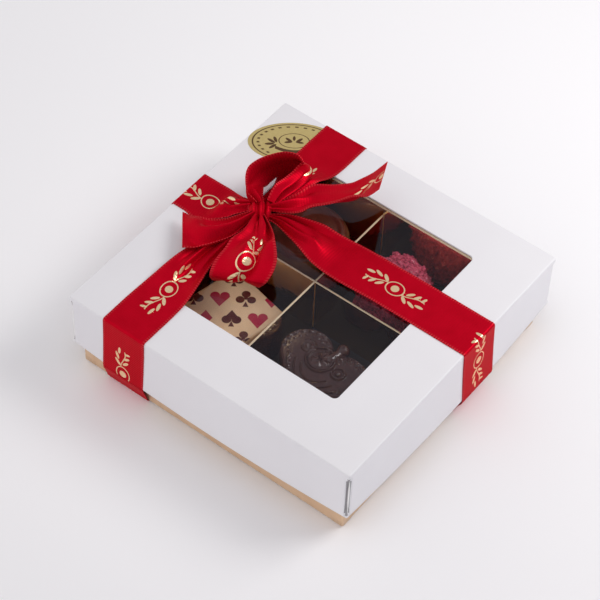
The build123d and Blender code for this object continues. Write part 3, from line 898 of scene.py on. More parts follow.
LOWER_LOOP = [
    ((-23.0, 5.4, 5.5), (-24.4, 2.9, 5.5)),
    ((-15.8, 0.2, 7.5), (-22.8, -4.9, 7.0)),
    ((-10.8, -4.6, 8.2), (-22.9, -13.4, 7.4)),
    ((-8.0, -8.2, 7.4), (-22.6, -18.2, 6.6)),
    ((-7.3, -11.2, 5.4), (-22.2, -20.6, 4.9)),
    ((-8.0, -13.3, 3.0), (-22.0, -21.0, 2.8)),
    ((-9.6, -13.3, 1.2), (-22.0, -19.6, 1.0)),
    ((-12.6, -8.9, 0.8), (-23.0, -13.3, 0.8)),
    ((-17.2, -2.0, 1.2), (-23.4, -4.8, 1.2)),
    ((-21.6, 3.6, 2.4), (-23.6, 1.7, 2.4)),
]
UPPER_LOOP = [
    ((-27.4, 7.1, 6.2), (-26.2, 8.6, 5.4)),
    ((-30.4, 5.8, 9.8), (-29.1, 11.4, 4.6)),
    ((-33.0, 7.2, 12.4), (-32.4, 15.2, 2.8)),
    ((-34.5, 10.6, 13.4), (-32.3, 16.8, 2.0)),
    ((-34.1, 14.9, 14.1), (-32.6, 19.4, 1.6)),
    ((-31.9, 18.9, 14.7), (-32.4, 22.4, 1.6)),
    ((-28.6, 22.8, 14.8), (-31.0, 25.9, 1.6)),
    ((-24.9, 24.9, 14.0), (-28.3, 28.2, 1.7)),
    ((-22.6, 25.2, 12.0), (-25.2, 28.4, 1.8)),
    ((-23.6, 22.7, 10.5), (-23.5, 25.4, 2.2)),
    ((-24.8, 18.2, 9.5), (-22.7, 20.5, 3.0)),
    ((-25.6, 13.8, 9.0), (-23.0, 14.6, 3.8)),
    ((-25.2, 10.0, 6.6), (-23.9, 10.6, 4.6)),
]
LEFT_TAIL = [
    ((-26.6, 4.4, 5.5), (-25.0, 3.3, 4.8)),
    ((-28.4, 1.5, 5.4), (-25.2, -0.7, 4.6)),
    ((-30.7, -2.4, 5.2), (-26.1, -5.8, 4.8)),
    ((-34.2, -5.2, 4.8), (-28.2, -10.5, 4.8)),
    ((-38.4, -6.7, 4.2), (-30.3, -14.7, 4.8)),
    ((-43.5, -7.2, 3.4), (-34.0, -18.8, 4.8)),
]
RIGHT_TAIL = [
    ((-24.5, 8.9, 5.4), (-22.9, 8.1, 4.8)),
    ((-22.0, 14.3, 5.5), (-17.6, 10.5, 5.5)),
    ((-18.6, 23.2, 4.8), (-11.8, 13.8, 8.0)),
    ((-12.7, 27.1, 5.8), (-6.2, 17.2, 11.0)),
    ((-8.2, 29.8, 7.5), (-2.5, 20.3, 13.0)),
    ((-6.7, 35.4, 9.0), (0.1, 23.5, 14.0)),
    ((-5.6, 41.6, 10.0), (1.0, 28.2, 14.0)),
]

# Where the ribbon goes over the lid's edges: the middle of its width, the way out of the box,
# the skirt wall's place in SKIRT_BOWS, and how far along that wall it is from -1 to 1.
ARMS = {
    "front": ((-29.5, 0.0), (0, -1), 0, -0.59),
    "right": ((0.0, 10.6), (1, 0), 1, 0.21),
    "back": ((-26.5, 0.0), (0, 1), 2, 0.53),
    "left": ((0.0, 3.4), (-1, 0), 3, -0.07),
}
EDGE_STRETCH = 11.0


def over_lid(cuts):
    """Cuts as an array, raised by the lid's height and lying just clear of the card."""
    return np.array(cuts) + [0, 0, LID_TOP + RIBBON_LIFT]


def edge_cuts(side, last_cut):
    """Cuts of an arm from where it lies flat, over the lid's edge on a quarter circle, and down
    the skirt at the wall's own bow. Its edges are in the order of last_cut's."""
    centre, way, wall, place = ARMS[side]
    out = np.array(way, dtype=float)
    across = np.array([-out[1], out[0]]) * (RIBBON_WIDTH / 2)
    if np.dot(np.array(last_cut[1])[:2] - np.array(last_cut[0])[:2], across) > 0:
        across = -across
    clear = RIBBON_THICK / 2 + 0.05
    path = [(HALF_LID - EDGE_STRETCH, LID_TOP + clear), (HALF_LID - 4.0, LID_TOP + clear)]
    path.append((HALF_LID - 1.4, LID_TOP + clear))
    bend = FOLD_RADIUS + clear
    for angle in np.linspace(0, math.pi / 2, 6):
        out_to = HALF_LID - FOLD_RADIUS + bend * math.sin(angle)
        path.append((out_to, LID_TOP - FOLD_RADIUS + bend * math.cos(angle)))
    depth = LID_TOP - LID_BOTTOM
    for down in (1.6, 3.5, 6.0, 9.0, 12.0, 15.0, 17.5, 19.8):
        bow = SKIRT_BOWS[wall] * (1 - place ** 2) * (down / depth) ** BOW_POWER
        path.append((HALF_LID + clear + bow, LID_TOP - down))
    cuts = []
    for reach, level in path:
        middle = out * reach + np.array(centre)
        cuts.append([[*(middle + across), level], [*(middle - across), level]])
    return np.array(cuts)


def smooth_cuts(cuts, step=0.55):
    """Cuts every step along the band: each edge is a Hermite curve through its points, whose
    slopes are the neighbouring runs' slopes weighted by the other run's length."""
    middles = cuts.mean(axis=1)
    gaps = np.linalg.norm(np.diff(middles, axis=0), axis=1)
    knots = np.concatenate([[0], np.cumsum(gaps)])
    runs = np.diff(cuts, axis=0) / gaps[:, None, None]
    slopes = np.concatenate([runs[:1], runs[-1:]])
    weight = (gaps[1:] / (gaps[:-1] + gaps[1:]))[:, None, None]
    inner = runs[:-1] * weight + runs[1:] * (1 - weight)
    slopes = np.concatenate([slopes[:1], inner, slopes[1:]])
    counts = np.maximum(2, np.ceil(gaps / step)).astype(int)
    parts = [np.linspace(a, b, n, endpoint=False) for a, b, n in zip(knots[:-1], knots[1:], counts)]
    places = np.concatenate(parts + [knots[-1:]])
    index = np.clip(np.searchsorted(knots, places, side="right") - 1, 0, len(gaps) - 1)
    gap = gaps[index][:, None, None]
    t = ((places - knots[index]) / gaps[index])[:, None, None]
    start = cuts[index]
    end = cuts[index + 1]
    rise = t * t * (3 - 2 * t)
    curve = start * (1 - rise) + end * rise
    return curve + slopes[index] * gap * t * (1 - t) ** 2 - slopes[index + 1] * gap * t * t * (1 - t)


def unit(vectors):
    return vectors / np.maximum(np.linalg.norm(vectors, axis=-1, keepdims=True), 1e-9)


def pleated(rows, folds, turn, lean, lying):
    """Points over a band, (rows, across, 3). Each row is the straight line between its two edges
    plus a wave. Where the line is shorter than the ribbon is wide, the wave's height is solved by
    halving so that the row is as long as the ribbon's width. The wave is one broad fold where the
    ribbon is nearly flat and several narrow ones where it is gathered. It stands along the band's
    normal, leaned over across it. A lying band's wave starts from its line, so it stays above the
    lid, and any other's is centred on it."""
    across = np.linspace(0, 1, ACROSS_POINTS)
    line = rows[:, :1] + (rows[:, 1:] - rows[:, :1]) * across[None, :, None]
    span = rows[:, 1] - rows[:, 0]
    chord = np.linalg.norm(span, axis=1)
    along = np.gradient(rows.mean(axis=1), axis=0)
    side = unit(span)
    normal = unit(np.cross(side, along))
    if lying:
        normal = normal * np.sign(normal[:, 2:3])
    way = unit(normal + side * math.tan(math.radians(lean)))
    short = np.clip((RIBBON_WIDTH - chord) / RIBBON_WIDTH, 0, 1)
    gather = np.clip(short / 0.62, 0, 1)[:, None]
    gather = gather * gather * (3 - 2 * gather)
    broad = np.sin(2 * math.pi * (across[None] * 1.0 + turn))
    narrow = np.sin(2 * math.pi * (across[None] * folds + turn * 2))
    narrow = narrow + 0.35 * np.sin(2 * math.pi * (across[None] * (folds * 1.6) + turn * 5))
    wave = broad * (1 - gather) + narrow * gather
    lowest = wave.min(axis=1, keepdims=True)
    highest = wave.max(axis=1, keepdims=True)
    wave = wave - (lowest if lying else (lowest + highest) / 2)
    ease = np.clip(short / 0.22, 0, 1)
    wanted = chord + (RIBBON_WIDTH - chord) * FOLD_SHARE * ease * ease * (3 - 2 * ease)
    low = np.zeros(len(rows))
    high = np.full(len(rows), 9.0)
    for _ in range(HALVINGS):
        height = (low + high) / 2
        points = line + way[:, None] * (wave * height[:, None])[..., None]
        length = np.linalg.norm(np.diff(points, axis=1), axis=2).sum(axis=1)
        high = np.where(length > wanted, height, high)
        low = np.where(length > wanted, low, height)
    height = low
    kernel = np.hanning(9) / np.hanning(9).sum()
    height = np.convolve(np.pad(height, 4, mode="edge"), kernel, mode="valid")
    return line + way[:, None] * (wave * height[:, None])[..., None]


def band_mesh(surface, thick):
    """A closed sheet about a surface of points: one face half the thickness above it, the other
    below, and a rim. Gives points, faces, each face's slot, and each point's place along and
    across the ribbon."""
    rows, columns, _ = surface.shape
    normal = unit(np.cross(np.gradient(surface, axis=1), np.gradient(surface, axis=0)))
    steps_across = np.linalg.norm(np.diff(surface, axis=1), axis=2)
    across = np.concatenate([np.zeros((rows, 1)), np.cumsum(steps_across, axis=1)], axis=1)
    across = across / across[:, -1:] * RIBBON_WIDTH
    steps_along = np.linalg.norm(np.diff(surface.mean(axis=1), axis=0), axis=1)
    along = np.concatenate([[0], np.cumsum(steps_along)])
    place = np.stack([np.tile(along[:, None], (1, columns)), across], axis=-1).reshape(-1, 2)
    upper = (surface + normal * (thick / 2)).reshape(-1, 3)
    lower = (surface - normal * (thick / 2)).reshape(-1, 3)
    count = rows * columns
    face = grid_faces(rows, columns)
    back = face[:, ::-1] + count
    left = np.arange(rows - 1) * columns
    right = left + columns - 1
    start = np.arange(columns - 1)
    end = start + (rows - 1) * columns
    rim = [
        [left, left + columns, left + columns + count, left + count],
        [right + columns, right, right + count, right + columns + count],
        [start + 1, start, start + count, start + 1 + count],
        [end, end + 1, end + 1 + count, end + count],
    ]
    rim_faces = np.concatenate([np.stack(corners, axis=-1) for corners in rim])
    faces = np.concatenate([face, back, rim_faces])
    slots = np.concatenate([np.zeros(len(face)), np.ones(len(back)), np.ones(len(rim_faces))])
    return np.concatenate([upper, lower]), faces, slots, np.concatenate([place, place]), along[-1]


def creased(surface, crease, depth):
    """A fold pressed along a loop's outer half: a sharp valley at that share of the width, and a
    low swell beyond it, fading out toward the loop's ends."""
    rows, columns, _ = surface.shape
    normal = unit(np.cross(np.gradient(surface, axis=1), np.gradient(surface, axis=0)))
    across = np.linspace(0, 1, columns)
    fold = 0.8 * np.exp(-((across - crease - 0.24) / 0.17) ** 2) - np.exp(-np.abs(across - crease) / 0.08)
    run = np.linspace(0, 1, rows)
    share = np.clip(run / 0.10, 0, 1) * np.clip((0.60 - run) / 0.14, 0, 1)
    return surface + normal * (depth * share[:, None] * fold)[..., None]


def make_band(name, node, body, surface, start, finishes, print_side, thick=RIBBON_THICK):
    """A length of ribbon, made as a thin closed sheet, that begins at start in the print's pattern.
    print_side is 1 where the printed face is on the side of the surface's normal, and -1 where it
    is behind. A print that starts inside the knot is left out, since its folds hide it."""
    points, faces, slots, place, length = band_mesh(surface, thick)
    if print_side < 0:
        slots = 1 - slots
    pattern = place[:, 0] + start
    if start > PRINT_PITCH / 2 - PRINT_REACH:
        pattern[pattern < PRINT_PITCH / 2 + PRINT_REACH] += PRINT_PITCH - 2 * PRINT_REACH
    place = np.column_stack([place, pattern])
    band = make_piece(name, points, faces, finishes, body, slots, 60.0, place)
    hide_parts(node)


def knot_surface():
    """The turn of ribbon round the knot: an ellipse about the line from one loop to the other,
    gathered across its width into pleats that a sine makes, and drawn in at both edges."""
    centre = (KNOT_LOW + KNOT_HIGH) / 2
    half = (KNOT_HIGH - KNOT_LOW) / 2
    axis = unit(np.array([0.78, 0.63, 0.0]))
    side = np.array([axis[1], -axis[0], 0.0])
    turns = np.linspace(-0.62, 0.66, 73) * 2 * math.pi
    turn, across = np.meshgrid(turns, np.linspace(-1, 1, 49), indexing="ij")
    swell = 1 - 0.30 * across ** 2 + 0.035 * turn / math.pi
    pleat = np.sin(across * 9.5 + 0.6 * np.sin(turn + 0.5)) * 0.58
    pleat = pleat + 0.16 * np.sin(across * 21.0 + turn)
    reach_side = (half[1] + 0.1) * swell * (1 + 0.06 * np.sin(turn * 2 + across)) + pleat
    reach_up = (half[2] - 0.35) * swell + pleat
    reach_up = np.minimum(reach_up, centre[2] - LID_TOP - 0.2)
    pinch = 1 + 0.08 * np.cos(2 * turn)
    along_axis = across * (half[1] * 0.9) * pinch
    points = centre + axis * along_axis[..., None] + side * (reach_side * np.sin(turn))[..., None]
    return points + np.array([0, 0, 1.0]) * (reach_up * np.cos(turn))[..., None]


def under_surface(low_side, high_side, level):
    """One length of ribbon under the box: flat at its level, with a rounded turn at the base's
    bottom edges and a straight slant up to the lid's skirt at both ends."""
    cuts = []
    for side, order in ((low_side, 1), (high_side, -1)):
        centre, way, wall, place = ARMS[side]
        out = np.array(way, dtype=float)
        across = np.abs([out[1], out[0]]) * (RIBBON_WIDTH / 2)
        base = np.abs(TRAY_LOW if sum(way) < 0 else TRAY_HIGH)[:2] @ np.abs(out)
        skirt = HALF_LID + RIBBON_THICK / 2 + 0.05 + SKIRT_BOWS[wall] * (1 - place ** 2)
        foot = base + 0.30
        path = [(skirt, LID_BOTTOM - 0.05), (skirt - 0.12, LID_BOTTOM - 0.9)]
        path += [(foot + (skirt - foot) * share, LID_BOTTOM * share) for share in (0.6, 0.3, 0.12)]
        path += [(base + 0.28, level + 0.35), (base + 0.12, level + 0.12), (base - 0.1, level + 0.02)]
        path += [(base - 0.6, level), (base - 3.0, level)]
        part = []
        for reach, height in path:
            middle = out * reach + np.array(centre)
            part.append([[*(middle - across), height], [*(middle + across), height]])
        cuts += part[::order]
    rows = smooth_cuts(np.array(cuts), 1.0)
    return rows[:, :1] + (rows[:, 1:] - rows[:, :1]) * np.linspace(0, 1, 17)[None, :, None]


def stack_piece(name, node, rings, bottom, top, finish):
    """Closed piece in the base from rings stacked from its bottom to its top, each end capped at
    its middle."""
    points = np.concatenate([rings.reshape(-1, 3), [bottom, top]])
    piece = make_piece(name, points, capped_faces(*rings.shape[:2]), [finish], "base")
    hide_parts(node)


def turned(points, angle, centre):
    """Points turned about the upright axis and moved to a centre in plan."""
    c = math.cos(angle)
    s = math.sin(angle)
    moved = np.array(points, dtype=float)
    moved[..., 0] = points[..., 0] * c - points[..., 1] * s + centre[0]
    moved[..., 1] = points[..., 0] * s + points[..., 1] * c + centre[1]
    return moved


def tile_rings():
    """Square chocolate: rounded squares that draw in with height, a round shoulder and a top that
    is faintly crowned."""
    centre = (TILE_LOW + TILE_HIGH)[:2] / 2
    low = TILE_LOW[2]
    top = TILE_HIGH[2]
    draft = math.tan(math.radians(3.0))
    shoulder = 1.0
    crown = 0.12
    places = np.linspace(-1, 1, 15)
    turns = np.linspace(0, 1, 9)[1:-1]
    stations = [(0.35, low), (0.1, low + 0.1), (0.0, low + 0.35)]
    stations += [(draft * rise, low + rise) for rise in np.linspace(1.0, top - low - 1.1, 9)]
    for angle in np.linspace(0, math.pi / 2, 8)[1:]:
        inset = draft * (top - low - shoulder) + shoulder * (1 - math.cos(angle))
        stations.append((inset, top - crown - shoulder + shoulder * math.sin(angle)))
    last = stations[-1][0]
    for share in (0.85, 0.65, 0.4, 0.15):
        inset = TILE_SIDE / 2 - (TILE_SIDE / 2 - last) * share
        stations.append((inset, top - crown * share ** 2))
    rows = []
    for inset, level in stations:
        half = TILE_SIDE / 2 - inset
        plan, _ = rounded_ring(half, half, min(1.9, half * 0.5), (0, 0), places, turns)
        rows.append(np.column_stack([plan, np.full(len(plan), level)]))
    return turned(np.array(rows), TILE_TURN, centre), [*centre, low], [*centre, top]


def heart_plan(count):
    """Heart outline about the middle of its lobes: an arc round each lobe from the notch to the
    straight side that touches it and runs to the tip, with points spread evenly by length."""
    lobe_x = LOBE_RADIUS - LOBE_OVERLAP
    tip = LOBE_RADIUS - HEART_LENGTH
    reach = math.hypot(lobe_x, tip)
    touch = math.acos(LOBE_RADIUS / reach) - math.atan2(-tip, -lobe_x)
    notch = math.pi - math.acos(lobe_x / LOBE_RADIUS)
    angles = np.linspace(touch, notch, 200)
    arc = np.column_stack([lobe_x + LOBE_RADIUS * np.cos(angles), LOBE_RADIUS * np.sin(angles)])
    run = np.linspace(0, 1, 80, endpoint=False)[:, None]
    side = np.array([[0.0, tip]]) * (1 - run) + arc[:1] * run
    right = np.concatenate([side, arc])
    left = right[::-1] * [-1, 1]
    line = np.concatenate([right, left[1:]])
    lengths = np.concatenate([[0], np.cumsum(np.linalg.norm(np.diff(line, axis=0), axis=1))])
    wanted = np.linspace(0, lengths[-1], count, endpoint=False)
    return np.column_stack([np.interp(wanted, lengths, line[:, axis]) for axis in range(2)])


def bead_at(x, y, centre_x, centre_y, radius):
    """Half-round bead of that radius, as its height over the plan."""
    return np.sqrt(np.clip(radius ** 2 - (x - centre_x) ** 2 - (y - centre_y) ** 2, 0, None))


def ridge(distance, width):
    """Rounded ridge: 1 on its line, falling to 0 at its width."""
    return np.clip(1 - (distance / width) ** 2, 0, 1)


def heart_relief(x, y, edge):
    """Height of the moulded top, in millimetres, over the plan. edge is the share of the way from
    the middle to the outline. It is the highest of these at each point: a thin rim, two strings of
    beads round each lobe, a wide ring with a raised flower in its middle, a smaller ring round a
    bead, a scroll on the left lobe, a string of beads down to the tip on each side, and three
    wavy curls between those strings."""
    lobe_x = LOBE_RADIUS - LOBE_OVERLAP
    height = 0.40 * ridge(edge - 0.95, 0.04)
    path = LOBE_RADIUS - 1.35
    for sign in (-1, 1):
        for step in range(10):
            angle = math.radians(20 + 21 * step)
            bead = bead_at(x, y, sign * (lobe_x - path * math.cos(angle)), path * math.sin(angle), 0.66)
            height = np.maximum(height, bead)
            angle = math.radians(30.5 + 21 * step)
            inner = path - 1.35
            bead = bead_at(x, y, sign * (lobe_x - inner * math.cos(angle)), inner * math.sin(angle), 0.36)
            height = np.maximum(height, bead)
    ring = np.hypot(x + 1.6, y)
    around = np.arctan2(y, x + 1.6)
    height = np.maximum(height, 0.75 * ridge(ring - 4.3, 0.42))
    height = np.maximum(height, 0.45 * ridge(ring - 3.5, 0.25))
    flower = (0.55 + 0.35 * np.cos(around * 5)) * np.clip(1 - ring / 2.7, 0, 1) ** 0.5
    height = np.maximum(height, flower)
    height = np.maximum(height, 0.8 * ridge(np.hypot(x - 5.6, y + 0.1) - 1.9, 0.40))
    height = np.maximum(height, bead_at(x, y, 5.6, -0.1, 0.95))
    scroll = np.hypot(x + 7.6, y - 1.0)
    turn = np.arctan2(y - 1.0, x + 7.6)
    spiral = np.abs((scroll - 0.30 - 0.21 * turn) % 1.32 - 0.66)
    height = np.maximum(height, 0.55 * ridge(spiral, 0.36) * (scroll < 2.6))
    for step in range(7):
        share = 0.12 + 0.12 * step
        out_to = (12.2 - 11.2 * share) * 0.93
        for sign in (-1, 1):
            bead = bead_at(x, y, sign * out_to, -3.2 - 10.6 * share, 0.5 + 0.12 * (step % 2))
            height = np.maximum(height, bead)
    away = np.hypot(x, y + 1.5)
    waver = 0.35 * np.sin(3 * np.arctan2(y + 1.5, x))
    for reach, wide in ((5.9, 0.34), (8.0, 0.30), (10.2, 0.34)):
        curl = 0.55 * ridge(away - reach - waver, wide)
        height = np.maximum(height, curl * (y < -4.2) * (edge < 0.86))
    return height


def heart_rings():
    """Heart chocolate: the outline drawn in a little as it rises, a round shoulder, and a top of
    rings that shrink to the middle, raised by the relief."""
    plan = heart_plan(260)
    middle = np.array([0.0, -2.5])
    low = HEART_LOW[2]
    body_top = HEART_HIGH[2] - 1.0
    shoulder = 0.7
    stations = [(0.965, low), (0.985, low + 0.12), (1.0, low + 0.5)]
    stations += [(1.0 - 0.0015 * rise, low + rise) for rise in np.linspace(1.5, body_top - low - 1.0, 8)]
    narrow = stations[-1][0]
    for angle in np.linspace(0, math.pi / 2, 6)[1:]:
        drop = shoulder * (1 - math.sin(angle))
        stations.append((narrow - 0.04 * (1 - math.cos(angle)), body_top - drop))
    rows = []
    for scale, level in stations:
        rows.append(np.column_stack([middle + (plan - middle) * scale, np.full(len(plan), level)]))
    for share in np.linspace(stations[-1][0] - 0.006, 0.02, 100):
        ring = middle + (plan - middle) * share
        relief = heart_relief(ring[:, 0], ring[:, 1], share / 0.985)
        rows.append(np.column_stack([ring, body_top + relief]))
    rings = turned(np.array(rows), HEART_TURN, HEART_CENTRE)
    centre = turned(middle, HEART_TURN, HEART_CENTRE)
    return rings, [*centre, low], [*centre, float(rings[-1, :, 2].mean())]


def heart_ball():
    """The ball in the notch and its neck: a profile of rings along the heart's axis, from inside
    the body out, with a half-circle for the ball."""
    level = HEART_HIGH[2] - BALL_RADIUS
    profile = [(1.0, 1.4), (2.0, 1.75), (3.4, 1.75), (4.8, 1.6), (5.6, 1.5)]
    for angle in np.linspace(math.radians(-46), math.radians(82), 13):
        profile.append((NOTCH_BALL_Y + BALL_RADIUS * math.sin(angle), BALL_RADIUS * math.cos(angle)))
    along, reach = np.array(profile).T
    around = np.linspace(0, 2 * math.pi, 28, endpoint=False)
    x = reach[:, None] * np.cos(around)
    y = along[:, None] + np.zeros_like(around)
    z = level + reach[:, None] * np.sin(around)
    rings = turned(np.stack([x, y, z], axis=-1), HEART_TURN, HEART_CENTRE)
    ends = np.array([[0.0, 0.6, level], [0.0, NOTCH_BALL_Y + BALL_RADIUS, level]])
    return rings, turned(ends, HEART_TURN, HEART_CENTRE)


def disc_rings():
    """Round chocolate: a profile turned about its middle, with a rolled shoulder, a thin lip and a
    dished top with a low swirl."""
    centre = (DISC_LOW + DISC_HIGH)[:2] / 2
    radius = (DISC_HIGH[0] - DISC_LOW[0]) / 2
    low = DISC_LOW[2]
    top = DISC_HIGH[2]
    profile = [(radius - 0.5, low), (radius - 0.12, low + 0.1), (radius, low + 0.5), (radius, low + 3.0)]
    profile += [(radius, low + 6.0), (radius - 0.05, top - 4.2), (radius - 0.2, top - 3.2)]
    profile += [(radius - 0.45, top - 2.3), (radius - 0.8, top - 1.4), (radius - 1.3, top - 0.7)]
    profile += [(radius - 1.9, top - 0.2), (radius - 2.5, top), (radius - 3.0, top - 0.12)]
    profile += [(radius - 3.5, top - 0.42), (radius - 4.2, top - 0.62)]
    inner = radius - 4.8
    profile += [(inner * share, top - 0.62 + 0.25 * (1 - share)) for share in np.linspace(1.0, 0.06, 14)]
    profile = np.array(profile)
    around = np.linspace(0, 2 * math.pi, 144, endpoint=False)
    reach = profile[:, :1] + np.zeros_like(around)
    level = profile[:, 1:] + np.zeros_like(around)
    in_dish = np.clip((radius - 4.0 - reach) / 2.0, 0, 1)
    level = level + 0.09 * np.sin(3 * around + reach * 0.9) * in_dish * (reach / radius)
    rings = np.stack([centre[0] + reach * np.cos(around), centre[1] + reach * np.sin(around), level], axis=-1)
    return rings, [*centre, low], [*centre, top - 0.37]


def cluster_rings():
    """Heap of crushed fruit: a squared dome whose reach is raised by seeded lumps of three sizes.
    A lump is a bell curve of the angle from its own direction, and of each size the highest counts."""
    centre = (CLUSTER_LOW + CLUSTER_HIGH)[:2] / 2
    low = CLUSTER_LOW[2]
    tall = CLUSTER_HIGH[2] - low
    rng = np.random.default_rng(7)
    rise = np.linspace(0.0, 0.985, 74)
    around = np.linspace(0, 2 * math.pi, 168, endpoint=False)
    up, angle = np.meshgrid(rise * math.pi / 2, around, indexing="ij")
    way = np.stack([np.cos(up) * np.cos(angle), np.cos(up) * np.sin(angle), np.sin(up)], axis=-1)
    lumps = np.zeros_like(up)
    for size, height, count in ((0.34, 1.0, 34), (0.17, 0.62, 120), (0.08, 0.34, 420)):
        turn = rng.uniform(0, 2 * math.pi, count)
        level = rng.uniform(0.02, 1.0, count)
        flat = np.sqrt(1 - level ** 2)
        heads = np.column_stack([flat * np.cos(turn), flat * np.sin(turn), level])
        strength = rng.uniform(0.5, 1.0, count) * height
        away = 2 - 2 * np.clip(way @ heads.T, -1, 1)
        lumps = lumps + (strength * np.exp(-away / size ** 2)).max(axis=-1)
    reach_xy = 10.5 + lumps * 1.7
    reach_z = (tall - 1.9) + lumps * 1.6
    squared = np.cos(up) ** 0.44
    x = centre[0] + reach_xy * squared * np.cos(angle)
    y = centre[1] + reach_xy * squared * np.sin(angle)
    z = low + reach_z * np.sin(up) ** 0.92
    rings = np.stack([x, y, z], axis=-1)
    return rings, [*centre, low], [*centre, float(z[-1].mean())]


def crumb_mesh(rings):
    """Crumbs lying over the heap: small eight-cornered lumps at seeded places on its surface, each
    turned and stretched its own way."""
    rng = np.random.default_rng(21)
    count = CRUMBS
    row = rng.integers(6, 72, count)
    column = rng.integers(0, rings.shape[1], count)
    seats = rings[row, column]
    middle = rings[..., :2].mean(axis=(0, 1))
    away = unit(np.column_stack([seats[:, :2] - middle, seats[:, 2:] - rings[0, 0, 2]]))
    corners = np.array([[x, y, z] for x in (-1, 1) for y in (-1, 1) for z in (-1, 1)], dtype=float)
    size = rng.uniform(0.2, 0.8, (count, 1, 1)) * rng.uniform(0.6, 1.3, (count, 1, 3))
    jitter = rng.uniform(0.55, 1.0, (count, 8, 1))
    turns, _ = np.linalg.qr(rng.normal(size=(count, 3, 3)))
    lumps = np.einsum("nij,nkj->nki", turns, corners * size * jitter) + (seats + away * 0.05)[:, None]
    box = np.array([[0, 1, 3, 2], [4, 6, 7, 5], [0, 4, 5, 1], [2, 3, 7, 6], [0, 2, 6, 4], [1, 5, 7, 3]])
    faces = (box[None] + 8 * np.arange(count)[:, None, None]).reshape(-1, 4)
    return lumps.reshape(-1, 3), faces


def build_card():
    """Lid, tray, platform and dividers, and new finishes for the film, liner and label."""
    points, faces, slots = lid_with_seams()
    # The third finish is the painted shade in the corner seams.
    finishes = [white_card_finish(), cut_card_finish(), seam_painted_shade_finish()]
    lid = make_piece("lid_card", points, faces, finishes, "lid", slots)
    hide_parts("lid_shell")
    points, faces = tray_shell()
    tray = make_piece("tray_card", points, faces, [brown_card_finish()], "base")
    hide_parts("base_tray")
    foil = foil_card_finish()
    edge = foil_edge_and_lit_ledge_finish()
    rings = ledge_rings()
    faces = grid_faces(*rings.shape[:2], wrap_rows=True, wrap_columns=True)
    row = np.arange(len(faces)) // rings.shape[1]
    # The ledge's faces take the paler cut-edge finish: a painted highlight for light through the film.
    slots = ((row >= LEDGE_TOP_ROWS[0]) & (row < LEDGE_TOP_ROWS[1])).astype(int)
    ledge = make_piece("foil_platform", rings.reshape(-1, 3), faces, [foil, edge], "base", slots)
    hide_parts("platform_insert")
    half_slot = DIVIDER_SLOT / 2
    low = LONG_LOW[2]
    top = LONG_HIGH[2]
    half_way = (low + top) / 2
    x = WELL_CENTRE[0]
    y = WELL_CENTRE[1]
    long_outline = [
        (LONG_LOW[0], low), (x - half_slot, low), (x - half_slot, half_way), (x + half_slot, half_way),
        (x + half_slot, low), (LONG_HIGH[0], low), (LONG_HIGH[0], top), (LONG_LOW[0], top),
    ]
    cross_outline = [
        (CROSS_LOW[1], low), (CROSS_HIGH[1], low), (CROSS_HIGH[1], top), (y + half_slot, top),
        (y + half_slot, half_way), (y - half_slot, half_way), (y - half_slot, top), (CROSS_LOW[1], top),
    ]
    for name, node, outline, thick, along_x, place in (
        ("foil_divider_long", "long_divider", long_outline, LONG_HIGH[1] - LONG_LOW[1], True, y),
        ("foil_divider_cross", "cross_divider", cross_outline, CROSS_HIGH[0] - CROSS_LOW[0], False, x),
    ):
        points, faces, slots = card_plate(outline, thick, along_x, place)
        plate = make_piece(name, points, faces, [foil, edge], "base", slots, 20.0)
        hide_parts(node)
    for node, material in (
        ("window_film", film_finish()), ("liner_pad", liner_finish()), ("oval_label", label_finish()),
    ):
        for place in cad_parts[node].material_slots:
            place.material = material


def build_chocolates():
    """The four chocolates."""
    rings, bottom, top = tile_rings()
    stack_piece("suit_tile", "chocolate_suit_tile", rings, bottom, top, suit_tile_finish())
    rings, bottom, top = heart_rings()
    points = np.concatenate([rings.reshape(-1, 3), [bottom, top]])
    faces = capped_faces(*rings.shape[:2])
    ball, ends = heart_ball()
    faces += [[corner + len(points) for corner in face] for face in capped_faces(*ball.shape[:2])]
    points = np.concatenate([points, ball.reshape(-1, 3), ends])
    heart = make_piece("dark_heart", points, faces, [dark_chocolate_finish()], "base", crease=70.0)
    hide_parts("chocolate_dark_heart")
    rings, bottom, top = disc_rings()
    finish = milk_chocolate_finish()
    stack_piece("milk_disc", "chocolate_milk_disc", rings, bottom, top, finish)
    rings, bottom, top = cluster_rings()
    points = np.concatenate([rings.reshape(-1, 3), [bottom, top]])
    faces = capped_faces(*rings.shape[:2])
    crumbs, crumb_faces = crumb_mesh(rings)
    slots = [0] * len(faces) + (np.arange(len(crumb_faces)) // 6 % 3).tolist()
    faces += (crumb_faces + len(points)).tolist()
    finishes = [
        raspberry_finish("raspberry_flesh", (0.80, 0.20, 0.25)),
        raspberry_finish("raspberry_crumb", (0.90, 0.34, 0.39)),
        raspberry_finish("raspberry_sugar", (0.98, 0.75, 0.76)),
    ]
    points = np.concatenate([points, crumbs])
    heap = make_piece("raspberry_heap", points, faces, finishes, "base", slots, 40.0)
    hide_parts("chocolate_raspberry_cluster")


